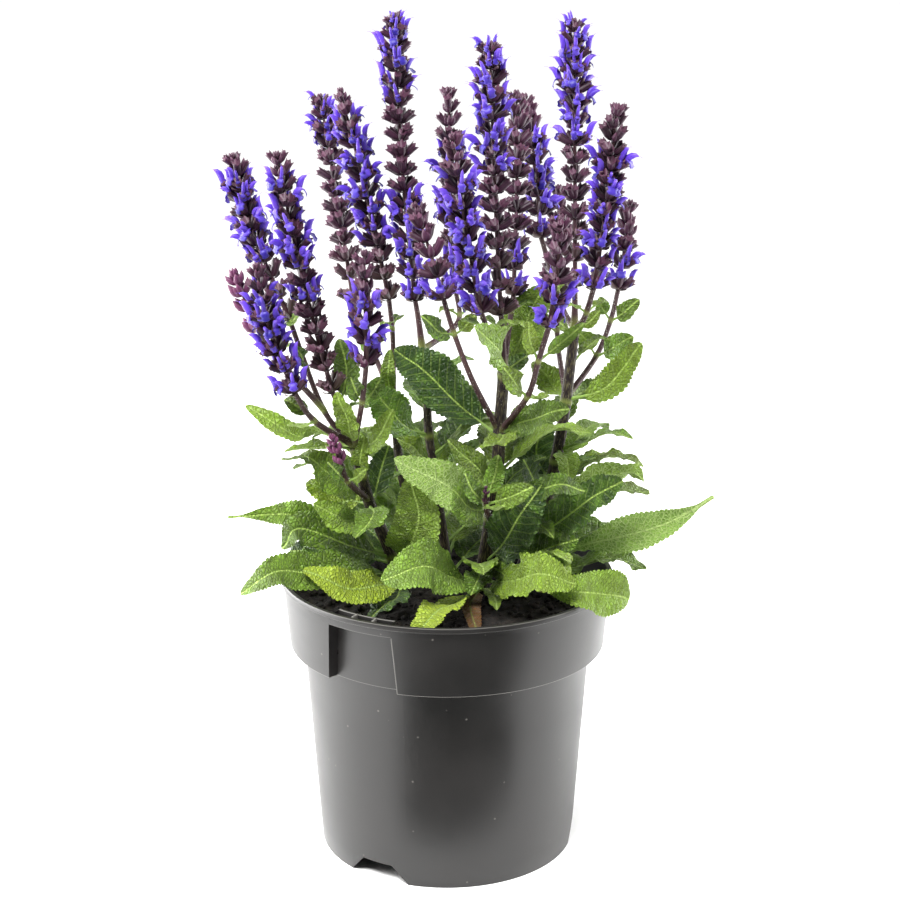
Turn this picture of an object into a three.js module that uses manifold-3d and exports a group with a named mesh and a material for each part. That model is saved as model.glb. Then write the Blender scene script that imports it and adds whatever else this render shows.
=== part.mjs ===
// Perennial salvia growing in a round plastic nursery pot.
//
// Units are millimetres and +Z is up. The origin is the middle of the pot's foot, on the surface
// that the pot stands on. The front of the plant looks along -Y, and angles round the pot are
// measured from -Y towards +X.
//
// The pieces are the pot, the potting soil, five leafy stems and the flower spikes that the
// stems carry. A stem stands in a hole in the soil. Each spike is a stalk, its small leaf pairs and
// its tiers of flowers, and it meets a short branch collar on the stem (or on another stalk).

import * as THREE from 'three';
import { mergeVertices } from 'three/addons/utils/BufferGeometryUtils.js';
import Module from 'manifold-3d';

const wasm = await Module();
wasm.setup();

// ---------------------------------------------------------------- driving dimensions

const GAP = 0.3; // left between pieces that touch
const FACETS = 32; // sides of the pot and the soil

const RIM_RADIUS = 95;
const POT_HEIGHT = 162;
const FOOT_RADIUS = 73.5;
const WALL = 1.4;
const COLLAR_BOTTOM = 121.5; // the collar is the wide band under the rim
const COLLAR_BOTTOM_RADIUS = 90;
const COLLAR_TOP = 158.8;
const COLLAR_TOP_RADIUS = 93.3;
const BODY_TOP_RADIUS = 82;
const FLOOR = 6; // underside of the raised floor
const PAD_RADIUS = 24; // the floor's middle comes down to the surface
const PAD_SLOPE = 6;
const FLOOR_INSET = 0.6; // how far the corners of the floor's upper side are drawn in
const PAD_INSET = 0.8;
const FOOT_WIDTH = 2.5;
const LIP_WIDTH = 3.2;

// The moulded recess in the collar: the angles that it lies between, its roof, and how far out its
// back wall stands at the bottom and at the top.
const RECESS = { from: -44, to: -18, top: 154.5, bottomRadius: 84, topRadius: 85.8 };
const RECESS_END = 0.9; // width of its end walls, in degrees
const RECESS_RIBS = [-34, -26];
const RIB_ANGLE = 0.35;

const NOTCH_MIDDLES = [-32, 88, 208];
const NOTCH = { bottom: 20, top: 9.6, height: 10.5 }; // half widths at the foot, and its height
const DRAIN_HOLES = 6;
const DRAIN_RADIUS = 5;
const DRAIN_CIRCLE = 50;

const SOIL_LEVEL = 146.5;
const SOIL_MOUND = 1.5;

const ROOT_DEPTH = 14;
const STEM_WIDTH = 5.6; // square stems, as in all the mint family
const STEM_TOP_WIDTH = 4.4;
// How much thicker the stems that stand in front are than the others.
const STOUT_STEMS = { leafy_stem_a: 1.25, leafy_stem_b: 1.4, leafy_stem_c: 1.25 };
const STALK_WIDTH = 3;
const STALK_TOP_WIDTH = 2.6;
const LEADERS = ['flower_spike_02', 'flower_spike_08', 'flower_spike_12', 'flower_spike_17'];
const LEADER_STOUTNESS = 1.3; // how much thicker the stalks that carry a stem on upwards are
const COLLAR_LENGTH = 13;

const AXIS_RADIUS = 2; // core of a flower spike
const WHORL = {
  o: { reach: 10.5, rise: 5.2 }, // open flowers
  c: { reach: 7.6, rise: 4.4 }, // calyces whose flowers have dropped
  b: { reach: 6.2, rise: 3.6 }, // buds
};
const VALLEY = 0.45; // reach between two flowers of a tier, as a share of the flowers' reach
const VALLEY_RISE = 0.4; // the same for the rise
const TIP_SHRINK = 0.5; // how much smaller a spike's last tier is
const SHORT_SPIKE = { tiers: 4, size: 0.6 }; // spikes of fewer tiers are still small

const LEAF_THICKNESS = 1.4;
const PETIOLE_WIDTH = 2.2;
const PETIOLE_LENGTH = 3; // and a share of the leaf's length besides
const PETIOLE_SHARE = 0.12;
const FOLD = 0.22; // how far a blade's edges stand above its midrib, as a share of the half width
const FULLNESS = 0.75; // 1 is a slim blade with long points, and less is fuller and blunter
const BELLY = 0.36; // where a blade is widest, as a share of its length
const TOOTH = 0.09; // how far the teeth stand out, as a share of the half width
const WAVE = 0.05; // how far a blade's edges wave up and down, as a share of its width
const WAVE_TURN = 9; // radians of that wave along a blade
const BLADE_CELLS = [[36, 5], [24, 4], [14, 3], [0, 2]]; // cells in a blade longer than so much
const CLEARANCE = 0.35; // half the room kept between a leaf and anything that it passes

// ---------------------------------------------------------------- stems and spikes

// Points along each main stem, from the soil up. The first is where it leaves the soil.
const STEMS = {
  leafy_stem_a: [[-24, 0, 148], [-33, -5, 177], [-44, -8, 206], [-51, -20, 241]],
  leafy_stem_b: [[18, 0, 148], [23, -4, 181], [28, -10, 224], [29, -14, 247], [31, -20, 283]],
  leafy_stem_c: [[38, 2, 148], [56, 4, 202], [63, 6, 234], [67, 8, 261], [71, 10, 300]],
  leafy_stem_d: [[2, 18, 148], [-10, 20, 233], [-11, 22, 262], [-14, 24, 285]],
  leafy_stem_e: [[-9, 26, 148], [-26, 32, 207], [-31, 38, 252]],
};

// Each spike: the node that carries it, its stalk from the branch to the lowest tier, the flowering
// axis beyond that (its middle and its tip), and one letter for each tier from the lowest up.
const SPIKES = {
  flower_spike_01: {
    on: 'leafy_stem_a',
    stalk: [[-51, -20, 241], [-68, -16, 261], [-86, -12, 311]],
    axis: [[-104, -8, 356], [-115, -4, 397]],
    tiers: 'cccoooooobb',
  },
  flower_spike_02: {
    on: 'leafy_stem_a',
    stalk: [[-51, -20, 241], [-58, -30, 265], [-62, -34, 276]],
    axis: [[-76, -46, 342], [-87, -52, 404]],
    tiers: 'cccccocoooooobb',
  },
  flower_spike_03: {
    on: 'flower_spike_01',
    stalk: [[-68, -16, 261], [-88, -24, 287], [-101, -30, 308]],
    axis: [[-107, -32, 324], [-112, -34, 338]],
    tiers: 'bbbb',
  },
  flower_spike_04: {
    on: 'leafy_stem_a',
    stalk: [[-51, -20, 241], [-71, -42, 261], [-81, -50, 279]],
    axis: [[-92, -56, 313], [-98, -60, 347]],
    tiers: 'oooooobb',
  },
  flower_spike_05: {
    on: 'leafy_stem_e',
    stalk: [[-31, 38, 252], [-40, 52, 270], [-55, 66, 306]],
    axis: [[-64, 80, 362], [-74, 92, 421]],
    tiers: 'cccccccccoooo',
  },
  flower_spike_06: {
    on: 'leafy_stem_e',
    stalk: [[-31, 38, 252], [-31, 36, 289], [-33, 34, 313]],
    axis: [[-44, 30, 368], [-58, 22, 430]],
    tiers: 'cccoooooooobb',
  },
  flower_spike_07: {
    on: 'leafy_stem_a',
    stalk: [[-51, -20, 241], [-45, -48, 273], [-42, -58, 296]],
    axis: [[-42, -64, 325], [-42, -68, 355]],
    tiers: 'oooobbb',
  },
  flower_spike_08: {
    on: 'leafy_stem_d',
    stalk: [[-14, 24, 285], [-16, 24, 302], [-18, 25, 314]],
    axis: [[-25, 30, 390], [-29, 36, 470]],
    tiers: 'oooooocccccoooooo',
  },
  flower_spike_09: {
    on: 'leafy_stem_b',
    stalk: [[29, -14, 247], [14, -30, 280], [4, -26, 305], [-2, -22, 324]],
    axis: [[-9, -17, 348], [-17, -10, 371]],
    tiers: 'ocbbbb',
  },
  flower_spike_10: {
    on: 'leafy_stem_d',
    stalk: [[-14, 24, 285], [6, 52, 295], [5, 60, 313]],
    axis: [[2, 74, 370], [1, 84, 425]],
    tiers: 'oocoocooccbb',
  },
  flower_spike_11: {
    on: 'leafy_stem_b',
    stalk: [[31, -20, 283], [23, -38, 306], [18, -44, 321]],
    axis: [[10, -54, 366], [3, -64, 414]],
    tiers: 'oooooooocbb',
  },
  flower_spike_12: {
    on: 'leafy_stem_b',
    stalk: [[31, -20, 283], [30, -21, 303], [29, -23, 316]],
    axis: [[25, -29, 388], [22, -36, 459]],
    tiers: 'cccccccoooooooo',
  },
  flower_spike_13: {
    on: 'leafy_stem_c',
    stalk: [[71, 10, 300], [65, 36, 309], [54, 62, 344]],
    axis: [[51, 74, 382], [45, 84, 421]],
    tiers: 'oooooocbb',
  },
  flower_spike_14: {
    on: 'leafy_stem_b',
    stalk: [[31, -20, 283], [35, 4, 307], [37, 12, 320]],
    axis: [[39, 34, 374], [39, 52, 426]],
    tiers: 'ooccccccccbb',
  },
  flower_spike_15: {
    on: 'leafy_stem_b',
    stalk: [[29, -14, 247], [43, -44, 275], [48, -58, 298], [53, -68, 319]],
    axis: [[56, -76, 349], [57, -82, 374]],
    tiers: 'oocbbbb',
  },
  flower_spike_16: {
    on: 'leafy_stem_c',
    stalk: [[67, 8, 261], [64, 46, 284], [64, 70, 309]],
    axis: [[65, 82, 338], [66, 92, 367]],
    tiers: 'cccbbbb',
  },
  flower_spike_17: {
    on: 'leafy_stem_c',
    stalk: [[71, 10, 300], [71, 10, 313], [71, 11, 325]],
    axis: [[70, 18, 398], [69, 26, 467]],
    tiers: 'cccccccoooooooo',
  },
  flower_spike_18: {
    on: 'leafy_stem_c',
    stalk: [[71, 10, 300], [75, -8, 310], [79, -22, 330]],
    axis: [[84, -34, 380], [87, -42, 427]],
    tiers: 'oooooooocccb',
  },
  flower_spike_19: {
    on: 'leafy_stem_c',
    stalk: [[67, 8, 261], [85, 30, 280], [94, 44, 298], [99, 54, 315]],
    axis: [[103, 62, 339], [106, 70, 361]],
    tiers: 'oocbbb',
  },
  flower_spike_20: {
    on: 'leafy_stem_a',
    stalk: [[-44, -8, 206], [-54, -40, 227], [-57, -46, 239]],
    axis: [[-59, -48, 246], [-61, -50, 253]],
    tiers: 'bbb',
  },
  flower_spike_21: {
    on: 'leafy_stem_b',
    stalk: [[25, -8, 194], [22, -34, 207], [21, -46, 217]],
    axis: [[21, -48, 221], [21, -49, 225]],
    tiers: 'bb',
  },
};

// ---------------------------------------------------------------- leaves

// Which way a blade's upper face looks.
const UP = [0, 0, 1];
const FRONT = [0, -0.8, 0.6];
const BACK = [0, 0.75, 0.65];

// Each leaf: points from its stem to its tip, its width, where its upper face looks at its base
// and, if the blade twists, at its tip, and how far along it is widest where that is unusual.
const LEAVES = {
  flower_spike_01: [
    [[[-86, -12, 311], [-84, -20, 311], [-79, -26, 317]], 7, FRONT],
    [[[-77, -14, 284], [-78, -24, 291], [-81, -30, 299]], 9, FRONT],
  ],
  flower_spike_02: [[[[-58, -30, 265], [-55, -18, 282], [-58, -12, 300]], 15, FRONT]],
  flower_spike_04: [
    [[[-71, -42, 261], [-78, -46, 269], [-86, -48, 273]], 9, FRONT],
    [[[-71, -42, 261], [-77, -55, 262], [-83, -62, 264]], 10, UP],
  ],
  flower_spike_07: [
    [[[-45, -48, 273], [-48, -55, 280], [-50, -57, 289]], 10, FRONT],
    [[[-45, -48, 273], [-39, -46, 278], [-35, -44, 286]], 10, FRONT],
  ],
  flower_spike_08: [
    [[[-15, 24, 296], [-25, 20, 300], [-35, 17, 304]], 9, FRONT],
    [[[-15, 24, 296], [-9, 28, 300], [-3, 31, 306]], 10, FRONT],
  ],
  flower_spike_09: [
    [[[4, -26, 305], [-4, -37, 309], [-13, -42, 318]], 12, FRONT],
    [[[4, -26, 305], [10, -16, 307], [15, -10, 313]], 9, FRONT],
    [[[14, -30, 280], [5, -42, 288], [-4, -48, 300]], 14, FRONT],
    [[[14, -30, 280], [20, -24, 285], [22, -20, 291]], 9, FRONT],
  ],
  flower_spike_15: [
    [[[48, -58, 298], [44, -64, 308], [41, -66, 320]], 9, FRONT],
    [[[48, -58, 298], [60, -53, 306], [72, -48, 316]], 8, FRONT],
    [[[43, -44, 275], [36, -54, 284], [31, -59, 295]], 13, FRONT],
    [[[43, -44, 275], [49, -36, 271], [55, -30, 270]], 10, UP],
  ],
  flower_spike_19: [
    [[[94, 44, 298], [90, 46, 304], [87, 46, 311]], 9, FRONT],
    [[[94, 44, 298], [101, 40, 303], [109, 38, 312]], 11, FRONT],
    [[[85, 30, 280], [81, 36, 286], [76, 38, 293]], 12, FRONT],
    [[[85, 30, 280], [94, 22, 287], [104, 18, 295]], 14, FRONT],
  ],
  flower_spike_20: [
    [[[-54, -40, 227], [-58, -49, 233], [-63, -52, 241]], 9, FRONT],
    [[[-54, -40, 227], [-48, -46, 231], [-44, -50, 237]], 8, FRONT],
  ],
  flower_spike_21: [
    [[[21, -44, 215], [15, -53, 224], [9, -56, 235]], 10, FRONT],
    [[[21, -44, 215], [25, -41, 228], [29, -39, 241]], 11, FRONT],
    [[[21, -44, 215], [33, -52, 221], [46, -56, 229]], 14, FRONT],
    [[[21, -44, 215], [25, -59, 217], [31, -66, 222]], 11, UP],
  ],
  leafy_stem_a: [
    [
      [[-35, -4, 172], [-55, -10, 180], [-82, -18, 197], [-98, -20, 202], [-121, -24, 205]],
      18, FRONT,
    ],
    [[[-33, -6, 170], [-52, -25, 184], [-80, -40, 199], [-91, -46, 195]], 20, FRONT],
    [
      [[-29, -6, 158], [-49, -35, 173], [-74, -55, 179], [-92, -62, 183], [-113, -66, 177]],
      22, FRONT,
    ],
    [[[-36, 2, 166], [-62, 12, 168], [-93, 20, 166]], 26, FRONT],
    [[[-51, -18, 240], [-70, -10, 246], [-87, -4, 244], [-112, 4, 260]], 17, BACK, FRONT],
    [[[-51, -21, 239], [-67, -30, 244], [-88, -40, 244]], 15, UP],
    [[[-51, -22, 241], [-39, -34, 248], [-29, -42, 266]], 13, FRONT],
    [[[-47, -16, 221], [-47, -30, 231], [-46, -33, 247]], 10, FRONT],
    [[[-45, -12, 208], [-61, -34, 228], [-74, -46, 241]], 24, FRONT],
    [[[-45, -4, 204], [-60, 6, 203], [-80, 14, 212]], 21, FRONT],
    [[[-42, -10, 198], [-56, -36, 203], [-70, -46, 217]], 19, FRONT],
    [[[-43, -12, 202], [-41, -36, 206], [-48, -52, 199]], 18, UP],
    [[[-43, 0, 203], [-38, 10, 216], [-34, 14, 232]], 16, FRONT],
    [[[-26, -4, 157], [-21, -32, 186], [-16, -44, 209], [-16, -48, 231]], 28, FRONT],
    [[[-24, -5, 153], [-41, -44, 163], [-58, -60, 166], [-80, -62, 169]], 21, FRONT],
    [[[-23, -6, 152], [-30, -40, 158], [-42, -60, 157]], 17, UP],
    [[[-50, -22, 239], [-49, -36, 258], [-51, -43, 276]], 13, FRONT],
  ],
  leafy_stem_b: [
    [[[17, -4, 152], [-2, -38, 172], [-21, -55, 184], [-43, -62, 185]], 29, FRONT, FRONT, 0.48],
    [[[16, -6, 151], [2, -52, 167], [-9, -74, 171], [-15, -88, 166]], 18, UP],
    [[[20, -6, 164], [17, -32, 169], [15, -47, 165]], 16, UP, FRONT],
    [[[21, -4, 166], [30, -24, 170], [38, -33, 172]], 11, FRONT],
    [[[19, -4, 152], [25, -30, 158], [29, -47, 157]], 10, UP],
    [[[25, -8, 199], [14, -24, 206], [3, -38, 219], [-11, -48, 233], [-27, -53, 246]], 26, FRONT],
    [[[28, -12, 245], [7, 4, 258], [-15, 8, 278], [-29, 8, 290]], 28, FRONT],
    [[[30, -20, 282], [20, -44, 299], [5, -58, 318]], 24, FRONT],
    [[[31, -20, 283], [37, -13, 285], [44, -6, 289]], 10, FRONT],
    [[[31, -19, 281], [36, 8, 292], [42, 14, 309], [48, 16, 325]], 27, FRONT],
    [[[30, -14, 247], [45, -36, 261], [63, -50, 269]], 19, FRONT],
    [[[29, -15, 246], [33, -40, 251], [25, -55, 249]], 15, UP],
    [[[26, -8, 213], [16, -24, 229], [1, -36, 250]], 15, FRONT],
    [[[22, -4, 166], [31, -22, 190], [38, -32, 212], [44, -34, 229]], 27, FRONT],
    [[[19, -4, 155], [36, -46, 172], [53, -64, 181], [68, -70, 183]], 25, FRONT],
    [[[26, -6, 203], [40, -30, 214], [56, -44, 224], [69, -48, 225]], 14, FRONT],
    [[[18, -4, 151], [14, -36, 154], [14, -68, 152]], 12, UP],
  ],
  leafy_stem_c: [
    [[[41, 0, 158], [51, -20, 178], [71, -34, 194]], 20, FRONT],
    [[[42, 0, 162], [58, -33, 182], [69, -49, 187], [77, -57, 174]], 15, FRONT, BACK],
    [
      [[43, 2, 165], [70, -6, 176], [97, -12, 185], [125, -12, 195], [148, -10, 211]],
      23, FRONT, FRONT, 0.52,
    ],
    [[[40, 0, 153], [54, -56, 169], [73, -65, 170], [91, -66, 164]], 27, FRONT, FRONT, 0.66],
    [[[67, 6, 260], [86, -4, 269], [97, -8, 283], [108, -6, 295]], 17, FRONT],
    [[[67, 10, 259], [79, 28, 260], [91, 38, 263]], 13, FRONT],
    [[[67, 10, 260], [60, 26, 269], [54, 32, 285]], 17, FRONT],
    [[[71, 8, 299], [65, 2, 303], [60, -2, 309]], 8, FRONT],
    [[[72, 10, 299], [79, 15, 303], [86, 18, 309]], 8, FRONT],
    [[[63, 5, 232], [84, -6, 243], [103, -10, 246]], 15, UP],
    [[[61, 5, 225], [73, -6, 229], [83, -12, 232]], 11, UP],
    [[[63, 4, 232], [66, -16, 232], [68, -26, 222]], 14, UP],
    [[[56, 4, 201], [74, -12, 213], [96, -20, 227], [110, -24, 224]], 20, BACK],
    [[[48, 2, 177], [60, -16, 195], [79, -30, 214], [96, -38, 223]], 24, FRONT],
    [[[58, 6, 212], [52, 22, 224], [55, 26, 246]], 23, FRONT],
    [[[57, 3, 210], [49, -14, 220], [42, -22, 233]], 15, FRONT],
    [[[42, 2, 153], [62, -24, 158], [77, -35, 160]], 12, UP],
  ],
  leafy_stem_d: [
    [[[-8, 20, 217], [-16, 0, 232], [-27, -9, 243]], 13, FRONT],
    [[[-10, 20, 236], [-24, 4, 246], [-35, -2, 261], [-41, -4, 272]], 22, FRONT],
  ],
  leafy_stem_e: [[[[-31, 38, 250], [-34, 26, 270], [-31, 22, 285]], 9, FRONT]],
};

// More leaves fan out round the sides and the back: the height each leaves its stem at, the way it
// goes, in degrees round the pot, and its length.
const FANS = {
  leafy_stem_a: [
    [153, 268, 76], [157, 232, 88], [170, 256, 78], [186, 222, 72], [206, 245, 58], [226, 200, 44],
  ],
  leafy_stem_b: [
    [160, 18, 58], [184, 40, 52], [204, 105, 44], [232, 150, 40], [214, 172, 76], [222, 96, 58],
    [206, 264, 62], [190, 130, 76],
  ],
  leafy_stem_c: [
    [152, 92, 80], [157, 122, 92], [168, 145, 90], [180, 112, 80], [192, 158, 72], [208, 95, 58],
    [220, 138, 56], [240, 168, 42], [280, 120, 30], [162, 172, 78], [200, 186, 54],
  ],
  leafy_stem_d: [
    [153, 146, 96], [162, 164, 92], [172, 125, 88], [184, 150, 80], [200, 178, 70], [220, 140, 56],
    [244, 195, 46], [266, 120, 34], [156, 188, 80], [192, 205, 58], [210, 112, 52],
    [224, 62, 58], [234, 250, 56],
  ],
  leafy_stem_e: [
    [152, 174, 84], [156, 208, 92], [162, 236, 92], [172, 190, 86], [182, 250, 84], [190, 166, 76],
    [202, 222, 68], [216, 262, 56], [226, 186, 52], [240, 232, 40], [158, 150, 74], [208, 152, 54],
  ],
};
const FAN_SLENDER = 0.35; // width of those leaves, as a share of their length

// Small leaf pairs on the stalks over a length whose own leaves are not listed above.
const STALK_PAIR = { length: 15, width: 8, share: 0.62, turn: 40, stalkOver: 30 };

// How those leaves arch: places along one, as shares of its length out from the stem and of its
// arch up. The arch is lower for the leaves next to the soil.
const ARCH = [[0, 0], [0.32, 0.65], [0.64, 1], [0.94, 0.85]];
const ARCH_HIGH = 0.34; // height of the arch, as a share of the leaf's length
const ARCH_LOW = 0.16;
const ARCH_HIGH_FROM = 205; // height above which every leaf arches high
const ARCH_TILT = 0.25; // how far the faces of those leaves look outwards

// A leaf that would touch something else is bent aside: round its stem, and up or down, in degrees.
const BENDS = [
  [0, 0], [0, 7], [8, 0], [-8, 0], [0, -7], [12, 6], [-12, 6], [0, 14], [17, 0], [-17, 0],
  [20, 10], [-20, 10], [0, -14], [27, 0], [-27, 0], [0, 22], [30, 14], [-30, 14], [40, 0], [-40, 0],
];

// ---------------------------------------------------------------- curves and closed bodies

const Z_AXIS = new THREE.Vector3(0, 0, 1);
const X_AXIS = new THREE.Vector3(1, 0, 0);

function vectors(points) {
  return points.map(([x, y, z]) => new THREE.Vector3(x, y, z));
}

function mix(a, b, t) {
  return a + (b - a) * t;
}

// The point at t, from 0 to 1, on the smooth curve that passes through the points.
function along(points, t) {
  const spans = points.length - 1;
  const k = Math.min(Math.floor(t * spans), spans - 1);
  const u = t * spans - k;
  const start = points[k];
  const end = points[k + 1];
  const before = k > 0 ? points[k - 1] : start.clone().multiplyScalar(2).sub(end);
  const after = k + 2 <= spans ? points[k + 2] : end.clone().multiplyScalar(2).sub(start);
  const leave = end.clone().sub(before).multiplyScalar(0.5);
  const arrive = after.clone().sub(start).multiplyScalar(0.5);
  const u2 = u * u;
  const u3 = u2 * u;
  return start.clone().multiplyScalar(2 * u3 - 3 * u2 + 1)
    .addScaledVector(leave, u3 - 2 * u2 + u)
    .addScaledVector(end, 3 * u2 - 2 * u3)
    .addScaledVector(arrive, u3 - u2);
}

function heading(points, t) {
  const step = 0.01; // on the curve's own scale of 0 to 1
  const ahead = along(points, Math.min(t + step, 1));
  return ahead.sub(along(points, Math.max(t - step, 0))).normalize();
}

// The part of a direction that is square to the heading, at length 1.
function squared(direction, forward) {
  return direction.clone().addScaledVector(forward, -direction.dot(forward)).normalize();
}

function signedVolume(points, triangles) {
  let sum = 0;
  const normal = new THREE.Vector3();
  for (let i = 0; i < triangles.length; i += 3) {
    normal.crossVectors(points[triangles[i + 1]], points[triangles[i + 2]]);
    sum += points[triangles[i]].dot(normal);
  }
  return sum / 6;
}

function solid(points, triangles) {
  const outward = signedVolume(points, triangles) > 0;
  const order = outward ? triangles : triangles.slice().reverse();
  return new wasm.Manifold(new wasm.Mesh({
    numProp: 3,
    vertProperties: new Float32Array(points.flatMap((p) => [p.x, p.y, p.z])),
    triVerts: new Uint32Array(order),
  }));
}

// A closed body through rings of equal size. It ends in a point where a tip is given. Its quads
// are split so that a blade's two faces, which are the rings' two halves, are split alike.
function loft(rings, tip = null) {
  const size = rings[0].length;
  const points = rings.flat();
  const triangles = [];
  for (let i = 0; i + 1 < rings.length; i += 1) {
    for (let j = 0; j < size; j += 1) {
      const a = i * size + j;
      const b = i * size + ((j + 1) % size);
      const c = a + size;
      const d = b + size;
      triangles.push(...(j % 2 === 0 ? [a, b, d, a, d, c] : [a, b, c, b, d, c]));
    }
  }
  const last = (rings.length - 1) * size;
  for (let j = 1; j + 1 < size; j += 1) {
    triangles.push(0, j + 1, j);
    if (!tip) triangles.push(last, last + j, last + j + 1);
  }
  if (tip) {
    points.push(tip);
    for (let j = 0; j < size; j += 1) {
      triangles.push(last + j, last + ((j + 1) % size), points.length - 1);
    }
  }
  return solid(points, triangles);
}

// A closed three.js geometry as a solid.
function solidOf(geometry) {
  geometry.deleteAttribute('normal');
  geometry.deleteAttribute('uv');
  const merged = mergeVertices(geometry, 1e-4);
  const place = merged.getAttribute('position');
  const points = [];
  for (let i = 0; i < place.count; i += 1) {
    points.push(new THREE.Vector3().fromBufferAttribute(place, i));
  }
  const triangles = [];
  const index = merged.getIndex().array;
  for (let i = 0; i < index.length; i += 3) {
    const [a, b, c] = [index[i], index[i + 1], index[i + 2]];
    if (a !== b && b !== c && c !== a) triangles.push(a, b, c);
  }
  return solid(points, triangles);
}

// A profile of [radius, height] points turned right round the pot's axis.
function turned(profile) {
  const points = profile.map(([radius, height]) => new THREE.Vector2(radius, height));
  return new THREE.LatheGeometry([...points, points[0]], FACETS).rotateX(Math.PI / 2);
}

function onCircle(radius, degrees, height) {
  const angle = THREE.MathUtils.degToRad(degrees);
  return new THREE.Vector3(radius * Math.sin(angle), -radius * Math.cos(angle), height);
}

// A profile of [radius, height] points turned through part of a circle.
function sector(profile, from, to) {
  const degreesInStep = 7;
  const steps = Math.max(1, Math.ceil((to - from) / degreesInStep));
  const rings = [];
  for (let i = 0; i <= steps; i += 1) {
    const angle = mix(from, to, i / steps);
    rings.push(profile.map(([radius, height]) => onCircle(radius, angle, height)));
  }
  return loft(rings);
}

// A square bar along a curve, from one width to another.
function squareBar(points, steps, width, endWidth, from = 0, to = 1) {
  const rings = [];
  for (let i = 0; i <= steps; i += 1) {
    const t = mix(from, to, i / steps);
    const forward = heading(points, t);
    const side = squared(X_AXIS, forward);
    const other = new THREE.Vector3().crossVectors(forward, side);
    const half = mix(width, endWidth, i / steps) / 2;
    const corners = [[1, 1], [-1, 1], [-1, -1], [1, -1]];
    rings.push(corners.map(([u, v]) => along(points, t)
      .addScaledVector(side, u * half)
      .addScaledVector(other, v * half)));
  }
  return loft(rings);
}

function joined(solids) {
  return solids.reduce((whole, piece) => whole.add(piece));
}

// Joined bodies as one: hollows that the joining sealed are filled, and loose scraps dropped.
function oneBody(body) {
  return body.decompose().reduce((largest, shell) => (
    shell.volume() > largest.volume() ? shell : largest
  ));
}

// ---------------------------------------------------------------- pot and soil

// How far out the sloping wall of the recess stands at a height.
function recessRadius(height) {
  const share = (height - COLLAR_BOTTOM) / (POT_HEIGHT - COLLAR_BOTTOM);
  return mix(RECESS.bottomRadius, RECESS.topRadius, share);
}

function potShell() {
  const padEnd = PAD_RADIUS + PAD_SLOPE;
  const footInner = FOOT_RADIUS - FOOT_WIDTH;
  const lipInner = RIM_RADIUS - LIP_WIDTH;
  return solidOf(turned([
    [0, 0],
    [PAD_RADIUS, 0],
    [padEnd, FLOOR],
    [footInner, FLOOR],
    [footInner, 0],
    [FOOT_RADIUS, 0],
    [BODY_TOP_RADIUS, COLLAR_BOTTOM],
    [COLLAR_BOTTOM_RADIUS, COLLAR_BOTTOM],
    [COLLAR_TOP_RADIUS, COLLAR_TOP],
    [RIM_RADIUS, COLLAR_TOP + 0.6],
    [RIM_RADIUS - 0.5, POT_HEIGHT],
    [lipInner, POT_HEIGHT - 0.3],
    [COLLAR_BOTTOM_RADIUS - WALL, COLLAR_BOTTOM + WALL],
    [BODY_TOP_RADIUS - WALL, COLLAR_BOTTOM + WALL],
    [footInner + FLOOR_INSET, FLOOR + WALL],
    [padEnd - FLOOR_INSET, FLOOR + WALL],
    [PAD_RADIUS - PAD_INSET, WALL],
    [0, WALL],
  ]));
}

// The recess in the collar: its back wall, which stands up to the rim, its end walls and roof, and
// the shallow pocket above the roof with two ribs across it.
function potRecess() {
  const { from, to, top } = RECESS;
  const low = COLLAR_BOTTOM + 0.1;
  const high = POT_HEIGHT - 0.5;
  const outside = COLLAR_TOP_RADIUS - 0.8;
  const wall = [
    [recessRadius(low) - WALL, low],
    [recessRadius(low), low],
    [recessRadius(high), high],
    [recessRadius(high) - WALL, high],
  ];
  const end = [
    [recessRadius(low) - WALL, low],
    [COLLAR_BOTTOM_RADIUS - 0.6, low],
    [outside, COLLAR_TOP - 1],
    [outside, high],
    [recessRadius(high) - WALL, high],
  ];
  const roof = [
    [recessRadius(top) - 0.7, top],
    [outside, top],
    [outside, top + WALL],
    [recessRadius(top) - 0.7, top + WALL],
  ];
  const rib = [
    [recessRadius(top) - 0.5, top + 0.5],
    [outside, top + 0.5],
    [outside, high - 1],
    [recessRadius(top) - 0.5, high - 1],
  ];
  const ribs = RECESS_RIBS.map((angle) => sector(rib, angle - RIB_ANGLE, angle + RIB_ANGLE));
  return joined([
    sector(wall, from - RECESS_END, to + RECESS_END),
    sector(end, from - RECESS_END, from),
    sector(end, to, to + RECESS_END),
    sector(roof, from - 0.4, to + 0.4),
    ...ribs,
  ]);
}

// What the recess takes out of the collar.
function recessCut() {
  const beyond = RIM_RADIUS + 3;
  return sector([
    [recessRadius(COLLAR_BOTTOM), COLLAR_BOTTOM - 1],
    [beyond, COLLAR_BOTTOM - 1],
    [beyond, RECESS.top],
    [recessRadius(RECESS.top), RECESS.top],
  ], RECESS.from, RECESS.to);
}

// A notch in the foot, wider at the bottom, which lets water out.
function drainNotch(middle) {
  const outward = onCircle(1, middle, 0);
  const aside = onCircle(1, middle + 90, 0);
  const corners = [
    [-NOTCH.bottom, -1], [NOTCH.bottom, -1], [NOTCH.top, NOTCH.height], [-NOTCH.top, NOTCH.height],
  ];
  const rings = [FOOT_RADIUS - 12, FOOT_RADIUS + 8].map((radius) => (
    corners.map(([across, height]) => outward.clone().multiplyScalar(radius)
      .addScaledVector(aside, across)
      .addScaledVector(Z_AXIS, height))
  ));
  return loft(rings);
}

function drainHole(angle) {
  const place = onCircle(DRAIN_CIRCLE, angle, FLOOR + 1);
  const cutter = new THREE.CylinderGeometry(DRAIN_RADIUS, DRAIN_RADIUS, 8, 8);
  return solidOf(cutter.rotateX(Math.PI / 2).translate(place.x, place.y, place.z));
}

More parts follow.
